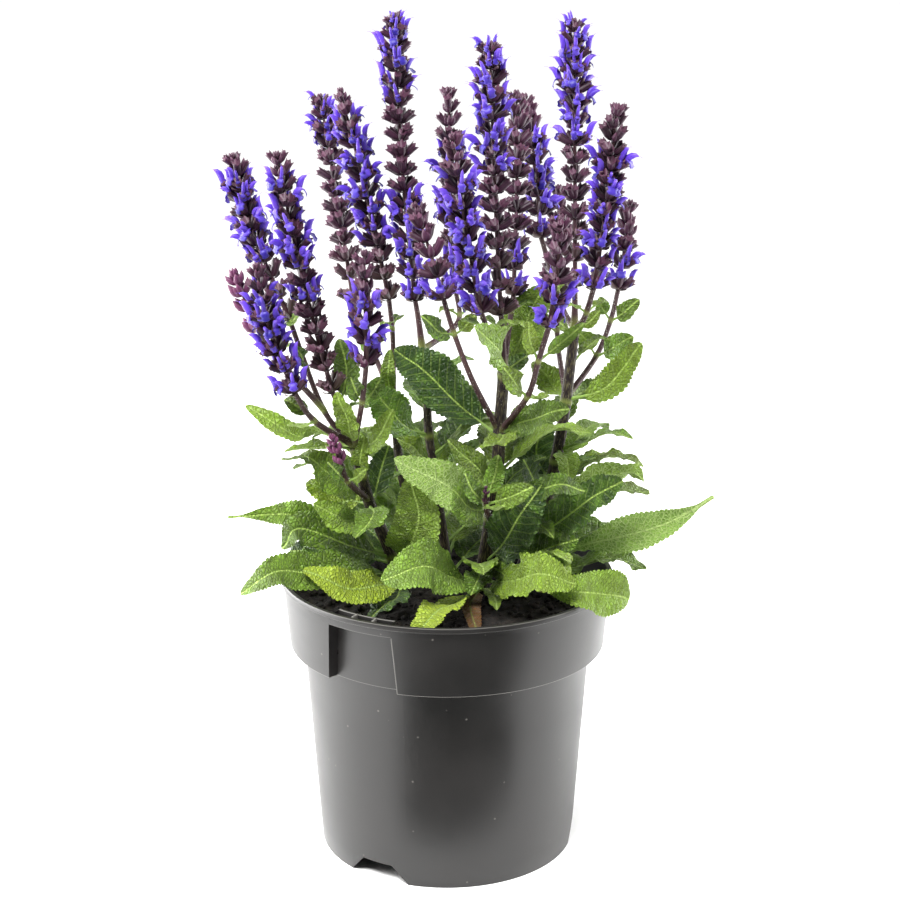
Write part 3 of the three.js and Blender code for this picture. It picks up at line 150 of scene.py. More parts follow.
# Each leaf: points from its stem to its tip, its width, where its upper face looks at its base
# and, if the blade twists, at its tip, and how far along it is widest where that is unusual.
LEAVES = {
    "flower_spike_01": [
        ([(-86, -12, 311), (-84, -20, 311), (-79, -26, 317)], 7, FRONT),
        ([(-77, -14, 284), (-78, -24, 291), (-81, -30, 299)], 9, FRONT),
    ],
    "flower_spike_02": [([(-58, -30, 265), (-55, -18, 282), (-58, -12, 300)], 15, FRONT)],
    "flower_spike_04": [
        ([(-71, -42, 261), (-78, -46, 269), (-86, -48, 273)], 9, FRONT),
        ([(-71, -42, 261), (-77, -55, 262), (-83, -62, 264)], 10, UP),
    ],
    "flower_spike_07": [
        ([(-45, -48, 273), (-48, -55, 280), (-50, -57, 289)], 10, FRONT),
        ([(-45, -48, 273), (-39, -46, 278), (-35, -44, 286)], 10, FRONT),
    ],
    "flower_spike_08": [
        ([(-15, 24, 296), (-25, 20, 300), (-35, 17, 304)], 9, FRONT),
        ([(-15, 24, 296), (-9, 28, 300), (-3, 31, 306)], 10, FRONT),
    ],
    "flower_spike_09": [
        ([(4, -26, 305), (-4, -37, 309), (-13, -42, 318)], 12, FRONT),
        ([(4, -26, 305), (10, -16, 307), (15, -10, 313)], 9, FRONT),
        ([(14, -30, 280), (5, -42, 288), (-4, -48, 300)], 14, FRONT),
        ([(14, -30, 280), (20, -24, 285), (22, -20, 291)], 9, FRONT),
    ],
    "flower_spike_15": [
        ([(48, -58, 298), (44, -64, 308), (41, -66, 320)], 9, FRONT),
        ([(48, -58, 298), (60, -53, 306), (72, -48, 316)], 8, FRONT),
        ([(43, -44, 275), (36, -54, 284), (31, -59, 295)], 13, FRONT),
        ([(43, -44, 275), (49, -36, 271), (55, -30, 270)], 10, UP),
    ],
    "flower_spike_19": [
        ([(94, 44, 298), (90, 46, 304), (87, 46, 311)], 9, FRONT),
        ([(94, 44, 298), (101, 40, 303), (109, 38, 312)], 11, FRONT),
        ([(85, 30, 280), (81, 36, 286), (76, 38, 293)], 12, FRONT),
        ([(85, 30, 280), (94, 22, 287), (104, 18, 295)], 14, FRONT),
    ],
    "flower_spike_20": [
        ([(-54, -40, 227), (-58, -49, 233), (-63, -52, 241)], 9, FRONT),
        ([(-54, -40, 227), (-48, -46, 231), (-44, -50, 237)], 8, FRONT),
    ],
    "flower_spike_21": [
        ([(21, -44, 215), (15, -53, 224), (9, -56, 235)], 10, FRONT),
        ([(21, -44, 215), (25, -41, 228), (29, -39, 241)], 11, FRONT),
        ([(21, -44, 215), (33, -52, 221), (46, -56, 229)], 14, FRONT),
        ([(21, -44, 215), (25, -59, 217), (31, -66, 222)], 11, UP),
    ],
    "leafy_stem_a": [
        ([(-35, -4, 172), (-55, -10, 180), (-82, -18, 197), (-98, -20, 202), (-121, -24, 205)],
         18, FRONT),
        ([(-33, -6, 170), (-52, -25, 184), (-80, -40, 199), (-91, -46, 195)], 20, FRONT),
        ([(-29, -6, 158), (-49, -35, 173), (-74, -55, 179), (-92, -62, 183), (-113, -66, 177)],
         22, FRONT),
        ([(-36, 2, 166), (-62, 12, 168), (-93, 20, 166)], 26, FRONT),
        ([(-51, -18, 240), (-70, -10, 246), (-87, -4, 244), (-112, 4, 260)], 17, BACK, FRONT),
        ([(-51, -21, 239), (-67, -30, 244), (-88, -40, 244)], 15, UP),
        ([(-51, -22, 241), (-39, -34, 248), (-29, -42, 266)], 13, FRONT),
        ([(-47, -16, 221), (-47, -30, 231), (-46, -33, 247)], 10, FRONT),
        ([(-45, -12, 208), (-61, -34, 228), (-74, -46, 241)], 24, FRONT),
        ([(-45, -4, 204), (-60, 6, 203), (-80, 14, 212)], 21, FRONT),
        ([(-42, -10, 198), (-56, -36, 203), (-70, -46, 217)], 19, FRONT),
        ([(-43, -12, 202), (-41, -36, 206), (-48, -52, 199)], 18, UP),
        ([(-43, 0, 203), (-38, 10, 216), (-34, 14, 232)], 16, FRONT),
        ([(-26, -4, 157), (-21, -32, 186), (-16, -44, 209), (-16, -48, 231)], 28, FRONT),
        ([(-24, -5, 153), (-41, -44, 163), (-58, -60, 166), (-80, -62, 169)], 21, FRONT),
        ([(-23, -6, 152), (-30, -40, 158), (-42, -60, 157)], 17, UP),
        ([(-50, -22, 239), (-49, -36, 258), (-51, -43, 276)], 13, FRONT),
    ],
    "leafy_stem_b": [
        ([(17, -4, 152), (-2, -38, 172), (-21, -55, 184), (-43, -62, 185)], 29, FRONT, FRONT, 0.48),
        ([(16, -6, 151), (2, -52, 167), (-9, -74, 171), (-15, -88, 166)], 18, UP),
        ([(20, -6, 164), (17, -32, 169), (15, -47, 165)], 16, UP, FRONT),
        ([(21, -4, 166), (30, -24, 170), (38, -33, 172)], 11, FRONT),
        ([(19, -4, 152), (25, -30, 158), (29, -47, 157)], 10, UP),
        ([(25, -8, 199), (14, -24, 206), (3, -38, 219), (-11, -48, 233), (-27, -53, 246)],
         26, FRONT),
        ([(28, -12, 245), (7, 4, 258), (-15, 8, 278), (-29, 8, 290)], 28, FRONT),
        ([(30, -20, 282), (20, -44, 299), (5, -58, 318)], 24, FRONT),
        ([(31, -20, 283), (37, -13, 285), (44, -6, 289)], 10, FRONT),
        ([(31, -19, 281), (36, 8, 292), (42, 14, 309), (48, 16, 325)], 27, FRONT),
        ([(30, -14, 247), (45, -36, 261), (63, -50, 269)], 19, FRONT),
        ([(29, -15, 246), (33, -40, 251), (25, -55, 249)], 15, UP),
        ([(26, -8, 213), (16, -24, 229), (1, -36, 250)], 15, FRONT),
        ([(22, -4, 166), (31, -22, 190), (38, -32, 212), (44, -34, 229)], 27, FRONT),
        ([(19, -4, 155), (36, -46, 172), (53, -64, 181), (68, -70, 183)], 25, FRONT),
        ([(26, -6, 203), (40, -30, 214), (56, -44, 224), (69, -48, 225)], 14, FRONT),
        ([(18, -4, 151), (14, -36, 154), (14, -68, 152)], 12, UP),
    ],
    "leafy_stem_c": [
        ([(41, 0, 158), (51, -20, 178), (71, -34, 194)], 20, FRONT),
        ([(42, 0, 162), (58, -33, 182), (69, -49, 187), (77, -57, 174)], 15, FRONT, BACK),
        ([(43, 2, 165), (70, -6, 176), (97, -12, 185), (125, -12, 195), (148, -10, 211)],
         23, FRONT, FRONT, 0.52),
        ([(40, 0, 153), (54, -56, 169), (73, -65, 170), (91, -66, 164)], 27, FRONT, FRONT, 0.66),
        ([(67, 6, 260), (86, -4, 269), (97, -8, 283), (108, -6, 295)], 17, FRONT),
        ([(67, 10, 259), (79, 28, 260), (91, 38, 263)], 13, FRONT),
        ([(67, 10, 260), (60, 26, 269), (54, 32, 285)], 17, FRONT),
        ([(71, 8, 299), (65, 2, 303), (60, -2, 309)], 8, FRONT),
        ([(72, 10, 299), (79, 15, 303), (86, 18, 309)], 8, FRONT),
        ([(63, 5, 232), (84, -6, 243), (103, -10, 246)], 15, UP),
        ([(61, 5, 225), (73, -6, 229), (83, -12, 232)], 11, UP),
        ([(63, 4, 232), (66, -16, 232), (68, -26, 222)], 14, UP),
        ([(56, 4, 201), (74, -12, 213), (96, -20, 227), (110, -24, 224)], 20, BACK),
        ([(48, 2, 177), (60, -16, 195), (79, -30, 214), (96, -38, 223)], 24, FRONT),
        ([(58, 6, 212), (52, 22, 224), (55, 26, 246)], 23, FRONT),
        ([(57, 3, 210), (49, -14, 220), (42, -22, 233)], 15, FRONT),
        ([(42, 2, 153), (62, -24, 158), (77, -35, 160)], 12, UP),
    ],
    "leafy_stem_d": [
        ([(-8, 20, 217), (-16, 0, 232), (-27, -9, 243)], 13, FRONT),
        ([(-10, 20, 236), (-24, 4, 246), (-35, -2, 261), (-41, -4, 272)], 22, FRONT),
    ],
    "leafy_stem_e": [([(-31, 38, 250), (-34, 26, 270), (-31, 22, 285)], 9, FRONT)],
}

# Fans of leaves round the sides and the back: height, direction in degrees, length.
FANS = {
    "leafy_stem_a": [
        (153, 268, 76), (157, 232, 88), (170, 256, 78), (186, 222, 72), (206, 245, 58),
        (226, 200, 44),
    ],
    "leafy_stem_b": [
        (160, 18, 58), (184, 40, 52), (204, 105, 44), (232, 150, 40), (214, 172, 76),
        (222, 96, 58), (206, 264, 62), (190, 130, 76),
    ],
    "leafy_stem_c": [
        (152, 92, 80), (157, 122, 92), (168, 145, 90), (180, 112, 80), (192, 158, 72),
        (208, 95, 58), (220, 138, 56), (240, 168, 42), (280, 120, 30), (162, 172, 78),
        (200, 186, 54),
    ],
    "leafy_stem_d": [
        (153, 146, 96), (162, 164, 92), (172, 125, 88), (184, 150, 80), (200, 178, 70),
        (220, 140, 56), (244, 195, 46), (266, 120, 34), (156, 188, 80), (192, 205, 58),
        (210, 112, 52), (224, 62, 58), (234, 250, 56),
    ],
    "leafy_stem_e": [
        (152, 174, 84), (156, 208, 92), (162, 236, 92), (172, 190, 86), (182, 250, 84),
        (190, 166, 76), (202, 222, 68), (216, 262, 56), (226, 186, 52), (240, 232, 40),
        (158, 150, 74), (208, 152, 54),
    ],
}
FAN_SLENDER = 0.35
ARCH = ((0, 0), (0.32, 0.65), (0.64, 1), (0.94, 0.85))
ARCH_HIGH, ARCH_LOW, ARCH_HIGH_FROM, ARCH_TILT = 0.34, 0.16, 205, 0.25
STALK_PAIR = {"length": 15, "width": 8, "share": 0.62, "turn": 40, "stalk_over": 30}

# The bends, round the stem and up or down, one of which the solids give to a leaf.
BENDS = [
    (0, 0), (0, 7), (8, 0), (-8, 0), (0, -7), (12, 6), (-12, 6), (0, 14), (17, 0), (-17, 0),
    (20, 10), (-20, 10), (0, -14), (27, 0), (-27, 0), (0, 22), (30, 14), (-30, 14), (40, 0),
    (-40, 0),
]

# ---------------------------------------------------------------- what only the looks need

# Leaves that differ from the rest: how yellow they are, how much darker, and how much darker
# at the stem where that differs. The darkness is partly a leaf's own tone and partly painted shade
# where it lies in shadow; a negative one is partly painted light where it is lit. The darker stem
# end is painted shade. One that is this much paler is as pale and as plainly netted above as below.
PALE = -0.5
LEAF_TINTS = {
    ("leafy_stem_a", 3): (0.0, 0.5),
    ("leafy_stem_a", 4): (0.25, -0.45),
    ("leafy_stem_a", 5): (0.2, -0.4),
    ("leafy_stem_a", 9): (0.45, -0.2),
    ("leafy_stem_a", 10): (0.2, -0.4),
    ("leafy_stem_a", 12): (0.0, 0.6),
    ("leafy_stem_a", 14): (0.65, -0.2),
    ("leafy_stem_a", 15): (0.0, 0.5),
    ("leafy_stem_b", 1): (0.7, -0.2),
    # Paler from the middle out, with painted shade darkening it towards its stem.
    ("leafy_stem_b", 5): (0.1, PALE, 0.6),
    ("leafy_stem_b", 6): (0.0, 0.55),
    ("leafy_stem_b", 7): (0.15, -0.4),
    ("leafy_stem_b", 13): (0.0, 0.5),
    ("leafy_stem_b", 14): (0.3, -0.3),
    ("leafy_stem_b", 16): (2.0, 1.0),
    ("leafy_stem_c", 1): (0.3, -0.4),
    ("leafy_stem_c", 2): (0.05, PALE),
    ("leafy_stem_c", 3): (0.2, -0.3),
    ("leafy_stem_c", 14): (0.0, 0.6),
    ("leafy_stem_c", 15): (0.0, 0.5),
    ("leafy_stem_c", 16): (2.0, 0.2),
}
# Leaves with a long neck and a drawn-out tip, and how quickly they narrow.
NECKED = {("leafy_stem_c", 2): 2.3, ("leafy_stem_a", 0): 1.2}
MAGENTA_BUDS = ("flower_spike_03", "flower_spike_20")

# Heights at which the pot's wall is divided, so that the cuts at its foot don't crease it, and how
# finely it is divided round the body and across the recess.
BODY_LOOPS = (12, 14, 18, 30, 60, 90)
BODY_STEPS, RECESS_STEPS = 150, 16
CORNER_ROUND = 0.5
# The angles of the recess's two ends, each at the collar's bottom and at its top.
RECESS_START, RECESS_END = (-45.6, -42.9), (-17.2, -18.8)
# A rib in the recess: across it, in and out, and up. How strongly a pale highlight is painted on
# the ribs and down the outer edge of the recess's right end.
RECESS_RIB, RECESS_HIGHLIGHT = (0.9, 5, 5), 0.8
# How far the tool that cuts a notch reaches in and out from the foot's edge.
NOTCH_IN, NOTCH_OUT = 12, 8
SHARP_ANGLE = 32

# Where a blade is divided from margin to margin, and the lengths that its detail goes by.
ACROSS = (-1, -0.85, -0.67, -0.48, -0.28, -0.09, 0, 0.09, 0.28, 0.48, 0.67, 0.85, 1)
ACROSS_SMALL = (-1, -0.7, -0.35, 0, 0.35, 0.7, 1)
SMALL_LEAF = 30
TOOTH_PITCH = 2.9
RIB_SPACING = 5.6
RIB_SLANT = 0.84
BLADE_THICKNESS, MIDRIB_KEEL = 0.34, 0.9
QUILT_CELL = 2.2
# A round tooth's fullness, and where between its tip and its notch the plain outline runs.
TOOTH_FULLNESS, TOOTH_MIDDLE = 0.7, 0.6
# How far a blade rolls for its length and flutters for its width, and its highest puffs and lumps.
ROLL, FLUTTER = 0.018, 0.05
PUFF, PUFF_FOR_WIDTH = 0.8, 0.06
LUMP, LUMP_SPACING = 0.5, 3.4
# Beyond these sizes, in millimetres, a leaf ruffles fully, and its teeth and lumps are full.
FULL_RUFFLES, FULL_TEETH, FULL_LUMPS = 50, 8, 9

# How often stems, flowering axes and the down's stalks are divided, in millimetres.
STEM_STEP, SPIKE_STEP, DOWN_STEP = 1.5, 3, 2.5
# A square stem's mean radius as a share of half its width, and how much a joint swells it.
SQUARE_MEAN, JOINT_SWELL = 1.12, 0.16
# How far along a stem a joint shows, and a spike's foot, how high the first joint of a main stem
# stands above the soil, and how far apart its joints are at least.
JOINT_REACH, FOOT_REACH, FIRST_JOINT, JOINT_SPACING = 2, 7, 25, 14
AXIS_TIP_WIDTH = 1.1
STALK_MAROON, AXIS_MAROON = 0.55, 0.7
HAIRS_PER_MM = 2

# The turns at which the four flowers of a group stand, to either side of its bract, and those of
# the buds at the tip.
FLOWER_FAN = (-0.78, -0.26, 0.26, 0.78)
TIP_FAN = (0.4, 1.7, 2.9, 4.1, 5.3)
# How large flowers are on the longest spikes, unopened spikes' buds, and closed calyces elsewhere.
LARGEST_FLOWERS, UNOPENED_SIZE, CLOSED_SIZE = 1.12, 1.6, 1.1
# How many of the closed calyces are plain buds, and how many of an open tier's flowers are out.
BUD_SHARE, OUT_SHARE = 0.6, 0.84

SOIL_RINGS, SOIL_SPOKES = 56, 180
SOIL_DEPTH, SOIL_RADIUS, SOIL_GAP = 12, 90, 0.3
CRUMBS = 1100
CRUMB_SIZES = (0.7, 0.9, 1.2, 1.2, 1.7, 2.4)

# The camera in metres: where it stands, how far it looks down, and its lens on a 36 mm frame.
CAMERA_PLACE = (0.00169, -1.01525, 0.51727)
CAMERA_DIP = 0.273
CAMERA_LENS = 75.1

# Corners of one piece that lie this close are one corner; round the pot's recess, wider.
WELD, POT_WELD = 1e-4, 0.06


# ---------------------------------------------------------------- curves

def vectors(points):
    return [Vector(p) for p in points]


def mix(a, b, t):
    return a + (b - a) * t


def along(points, t):
    """The point at t, from 0 to 1, on the smooth curve that passes through the points."""
    spans = len(points) - 1
    k = min(int(t * spans), spans - 1)
    u = t * spans - k
    start, end = points[k], points[k + 1]
    before = points[k - 1] if k > 0 else start * 2 - end
    after = points[k + 2] if k + 2 <= spans else end * 2 - start
    leave, arrive = (end - before) * 0.5, (after - start) * 0.5
    u2, u3 = u * u, u * u * u
    return (start * (2 * u3 - 3 * u2 + 1) + leave * (u3 - 2 * u2 + u)
            + end * (3 * u2 - 2 * u3) + arrive * (u3 - u2))


def heading(points, t):
    return (along(points, min(t + 0.01, 1)) - along(points, max(t - 0.01, 0))).normalized()


def squared(direction, forward):
    return (direction - forward * direction.dot(forward)).normalized()


def square_to(forward):
    """Two directions square to this one and to each other."""
    side = squared(Vector((1, 0, 0)), forward)
    return side, forward.cross(side)


def on_circle(radius, degrees, height):
    angle = math.radians(degrees)
    return Vector((radius * math.sin(angle), -radius * math.cos(angle), height))


def length_of(points):
    return sum((b - a).length for a, b in zip(points, points[1:]))


def stem_curve(name):
    """A main stem's points, with its rooted end below the soil."""
    points = vectors(STEMS[name])
    down = (points[0] - points[1]).normalized()
    return [points[0] + down * ROOT_DEPTH, *points]


def stem_widths(name):
    stoutness = STOUT_STEMS.get(name, 1)
    return STEM_WIDTH * stoutness, STEM_TOP_WIDTH * stoutness


def stalk_widths(name):
    return STALK_WIDTH * (LEADER_STOUTNESS if name in LEADERS else 1), STALK_TOP_WIDTH


def curve_of(name):
    return stem_curve(name) if name in STEMS else vectors(SPIKES[name][1])


def branch_feet(name):
    """Where the spikes that this stem or spike carries begin."""
    return [vectors(stalk)[0] for carrier, stalk, *_ in SPIKES.values() if carrier == name]


def nearest_on(curve, point):
    """The place on a curve that is nearest to a point, to a two-hundredth of its length."""
    places = [along(curve, i / 200) for i in range(201)]
    return min(places, key=lambda place: (place - point).length)


# ---------------------------------------------------------------- closed meshes from grids

def tags(bm):
    """The blade and tint vectors, which every corner carries for its material to read."""
    layers = bm.verts.layers.float_vector
    return [layers.get(name) or layers.new(name) for name in ("blade", "tint")]


def sheet(bm, rows, columns, place):
    """A grid of quads. place(row, column) gives a corner's place, then what it carries."""
    layers = tags(bm)
    corners = bmesh.ops.create_grid(bm, x_segments=columns, y_segments=rows, size=1.0)["verts"]
    for index, vert in enumerate(corners):
        vert.co, *carried = place(*divmod(index, columns + 1))
        for layer, value in zip(layers, carried):
            vert[layer] = value
    return corners


def tube(bm, rings, columns, shape, blade, tint):
    """A closed skin through rings of (centre, forward, radius), ended in a point at both ends.

    shape(angle) says how far out the skin is there, as a share of the radius. blade(ring, column)
    gives the blade vector there.
    """
    frames = [(centre, *square_to(forward), radius) for centre, forward, radius in rings]

    def place(row, column):
        ring = min(max(row - 1, 0), len(rings) - 1)
        centre, side, other, radius = frames[ring]
        angle = math.tau * (column % columns) / columns
        out = radius * shape(angle) if row == ring + 1 else 0
        spot = centre + side * (out * math.cos(angle)) + other * (out * math.sin(angle))
        return spot, blade(ring, column), tint

    corners = sheet(bm, len(rings) + 1, columns, place)
    bmesh.ops.remove_doubles(bm, verts=corners, dist=WELD)


def mesh_of(bm, name):
    mesh = bpy.data.meshes.new(name)
    bm.to_mesh(mesh)
    bm.free()
    return mesh


def put(name, data):
    """A mesh, lamp or camera as an object in the scene."""
    made = bpy.data.objects.new(name, data)
    bpy.context.scene.collection.objects.link(made)
    return made


def finish_piece(name, bm, materials, replaced=()):
    """The built mesh as a piece of the finished model, in metres, riding on the row's one body."""
    bmesh.ops.recalc_face_normals(bm, faces=bm.faces)
    bmesh.ops.scale(bm, vec=(MM, MM, MM), verts=bm.verts)
    for face in bm.faces:
        face.smooth = True
    piece = put(name, mesh_of(bm, name))
    for material in materials:
        piece.data.materials.append(material)
    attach(piece, "root")
    if replaced:
        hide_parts(*replaced)
    return piece


# ---------------------------------------------------------------- materials

def linear(hex_colour):
    """An sRGB hex value as linear RGBA."""
    parts = [int(hex_colour[i:i + 2], 16) / 255 for i in (1, 3, 5)]
    return (*[p / 12.92 if p <= 0.04045 else ((p + 0.055) / 1.055) ** 2.4 for p in parts], 1)


def fill(socket, value):
    """Links an input to an output, or sets it. A colour is given as its hex value."""
    if isinstance(value, bpy.types.NodeSocket):
        socket.id_data.links.new(value, socket)
    else:
        socket.default_value = linear(value) if isinstance(value, str) else value


def add(tree, kind, *values, out=None, **settings):
    """Adds a node with its settings, and fills its inputs in order; None leaves one as it is.

    Gives back the node's output of that name, or the first.
    """
    made = tree.nodes.new("ShaderNode" + kind)
    for name, setting in settings.items():
        setattr(made, name, setting)
    for socket, value in zip([s for s in made.inputs if s.enabled], values):
        if value is not None:
            fill(socket, value)
    return made.outputs[out] if out else next(s for s in made.outputs if s.enabled)


def new_material(name):
    material = bpy.data.materials.new(name)
    material.use_nodes = True
    return material, material.node_tree, material.node_tree.nodes["Principled BSDF"]


def set_shader(shader, **values):
    for name, value in values.items():
        fill(shader.inputs[name.replace("_", " ")], value)


def let_light_through(tree, shader, colour, share):
    """Makes a thin blade or petal glow a little where it is lit from behind."""
    glow = add(tree, "BsdfTranslucent", colour)
    fill(tree.nodes["Material Output"].inputs["Surface"],
         add(tree, "MixShader", share, shader.outputs[0], glow))


def read_tags(tree):
    """The numbers of the two vectors that every grown piece carries."""
    return [add(tree, "SeparateXYZ", add(tree, "Attribute", attribute_name=name, out="Vector")
                ).node.outputs for name in ("blade", "tint")]


def leaf_material(name, deep, bright, vein, ribbed, netted, domed, roughness):
    """Living leaf, wrinkled by a net of veins and downy, so its gloss is soft and broken.

    The blade vector is millimetres along and across the blade, and the count of side ribs passed.
    The tint vector is how yellow the leaf is, how dark, and the share of the way to its margin.
    ribbed and netted are how plain the side ribs and the fine veins are, and domed is how far the
    leaf stands up between them. The domes are also coloured lighter than the hollows along the
    veins, a painted light and shade of that quilting. The veins wander over 5 mm and the green
    over 9. The down is 0.1 mm apart in life, too fine to show, and is drawn 0.45 mm apart.
    """
    material, tree, shader = new_material(name)
    (along_mm, across_mm, rib), (yellow, dark, edge) = read_tags(tree)
    flat = add(tree, "CombineXYZ", along_mm, across_mm)
    wander = add(tree, "TexNoise", flat, 1 / 5, 2.0, noise_dimensions="2D", out="Color")
    wander = add(tree, "VectorMath", wander, (QUILT_CELL, QUILT_CELL, 0), operation="MULTIPLY")
    cells = add(tree, "TexVoronoi", add(tree, "VectorMath", flat, wander), 1 / QUILT_CELL,
                voronoi_dimensions="2D", feature="DISTANCE_TO_EDGE")
    net = add(tree, "MapRange", cells, 0.03, 0.16, 1, 0)
    dome = add(tree, "MapRange", cells, 0, 0.34, 0, math.pi / 2)
    dome = add(tree, "Math", dome, operation="SINE")
    side_rib = add(tree, "Math", rib, 0.5, operation="PINGPONG")
    side_rib = add(tree, "MapRange", side_rib, 0.015, 0.11, 1, 0)
    inner = add(tree, "MapRange", edge, 0.75, 0.97, 1, 0)
    side_rib = add(tree, "Math", side_rib, inner, operation="MULTIPLY")
    midrib = add(tree, "Math", across_mm, operation="ABSOLUTE")
    midrib = add(tree, "MapRange", midrib, 0.3, 0.7, 0.9, 0)

    mottle = add(tree, "TexNoise", flat, 1 / 9, 3.0, noise_dimensions="2D")
    lightness = add(tree, "MapRange", mottle, 0.3, 0.7, -0.12, 0.45)
    # A leaf's darkness: partly its own tone and partly painted shade and light, as the tint table
    # gives it.
    lightness = add(tree, "Math", dark, -0.6, lightness, operation="MULTIPLY_ADD")
    # Painted light and shade of the quilting: the domes are coloured lighter, the hollows along the
    # veins darker.
    lightness = add(tree, "Math", dome, 0.28, lightness, operation="MULTIPLY_ADD")
    plain = add(tree, "MapRange", dark, PALE, 0, netted + 0.3, netted)
    fine = add(tree, "Math", net, plain, operation="MULTIPLY")
    coarse = add(tree, "Math", side_rib, ribbed, operation="MULTIPLY")
    veins = add(tree, "Math", fine, coarse, operation="MAXIMUM")
    veins = add(tree, "Math", veins, midrib, operation="MAXIMUM")
    withered = add(tree, "MapRange", yellow, 1.2, 2)
    veins = add(tree, "Math", veins, add(tree, "MapRange", withered, 0, 1, 1, 0.3),
                operation="MULTIPLY")
    green = deep
    for share, colour in ((lightness, bright), (yellow, "#a3b52c"), (withered, "#5d3d1e"),
                          (veins, vein)):
        green = add(tree, "Mix", share, green, colour, data_type="RGBA")

    relief = add(tree, "Math", dome, side_rib, operation="SUBTRACT")
    relief = add(tree, "Math", relief, midrib, operation="SUBTRACT")
    down = add(tree, "TexNoise", flat, 2.2, 2.0, noise_dimensions="2D")
    down = add(tree, "Math", down, 0.12, operation="MULTIPLY")
    height = add(tree, "Math", relief, domed, down, operation="MULTIPLY_ADD")
    set_shader(shader, Base_Color=green, Roughness=roughness, Specular_IOR_Level=0.4,
               Sheen_Weight=0.03, Sheen_Roughness=0.5,
               Normal=add(tree, "Bump", 1.0, 0.0008, None, height))
    let_light_through(tree, shader, "#a8d03a", 0.12)
    return material


def stem_material():
    """Square herb stem, purple-black where the sun reaches it, green at the joints, with down.

    The blade vector is millimetres along the stem, the share of the way round it, and how near a
    joint is. The tint vector is how young it is, and how maroon. Its streaks are 4.5 mm long and
    a thirty-sixth of the way round wide.
    """
    material, tree, shader = new_material("salvia_stem_skin")
    (along_mm, around, joint), (young, maroon, _) = read_tags(tree)
    stretched = add(tree, "CombineXYZ", add(tree, "Math", along_mm, 0.22, operation="MULTIPLY"),
                    add(tree, "Math", around, 36.0, operation="MULTIPLY"))
    streak = add(tree, "TexNoise", stretched, 1.0, 3.0, noise_dimensions="2D")
    skin = "#1e1518"
    for share, colour in ((add(tree, "MapRange", streak, 0.48, 0.7), "#565039"),
                          (maroon, "#43252f"),
                          (add(tree, "MapRange", joint, 0.2, 0.95, 0, 0.55), "#7b8a3c"),
                          (young, "#7d9a48")):
        skin = add(tree, "Mix", share, skin, colour, data_type="RGBA")
    set_shader(shader, Base_Color=skin, Roughness=0.5, Specular_IOR_Level=0.25,
               Normal=add(tree, "Bump", 0.6, 0.0004, None, streak))
    return material


def calyx_material():
    """Downy ribbed calyx, maroon-brown with paler ribs and a pinkish rim.

    The blade vector is the share of the way from foot to tooth, and round it. The tint vector is
    its lightness, how green it is, and how magenta.
    """
    material, tree, shader = new_material("salvia_calyx")
    (outward, around, _), (light, green, magenta) = read_tags(tree)
    ribs = add(tree, "Math", around, 10.0, operation="MULTIPLY")
    ribs = add(tree, "Math", ribs, 0.5, operation="PINGPONG")
    skin = "#0d050a"
    for share, colour in ((light, "#341a2a"), (green, "#3f3c20"), (magenta, "#5a2348"),
                          (add(tree, "MapRange", ribs, 0.05, 0.3, 0.35, 0), "#56324a"),
                          (add(tree, "MapRange", outward, 0.75, 1, 0, 0.3), "#683852")):
        skin = add(tree, "Mix", share, skin, colour, data_type="RGBA")
    set_shader(shader, Base_Color=skin, Roughness=0.45, Specular_IOR_Level=0.3,
               Sheen_Weight=0.04, Sheen_Roughness=0.4)
    return material


def petal_material():
    """Thin velvety petal: violet-blue, paler along the hood, deepest on the lower lip."""
    material, tree, shader = new_material("salvia_petal")
    (outward, part, _), (light, _, _) = read_tags(tree)
    hood = "#431a80"
    for share, colour in ((add(tree, "MapRange", outward, 0.1, 0.6), "#4f2ab8"),
                          (add(tree, "MapRange", outward, 0.7, 1, 0, 0.6), "#8f68de")):
        hood = add(tree, "Mix", share, hood, colour, data_type="RGBA")
    lip = add(tree, "Mix", add(tree, "MapRange", outward, 0.05, 0.5), "#5842c4", "#1e118e",
              data_type="RGBA")
    shade = add(tree, "Mix", light, "#200f66", "#744fd0", data_type="RGBA")
    petal = hood
    for share, colour in ((add(tree, "MapRange", part, 0.4, 0.6), lip),
                          (add(tree, "MapRange", part, 1.4, 1.6), "#9a6fd2"), (0.4, shade)):
        petal = add(tree, "Mix", share, petal, colour, data_type="RGBA")
    set_shader(shader, Base_Color=petal, Roughness=0.45, Specular_IOR_Level=0.4, Sheen_Weight=0.1)
    let_light_through(tree, shader, "#9d78f4", 0.2)
    return material


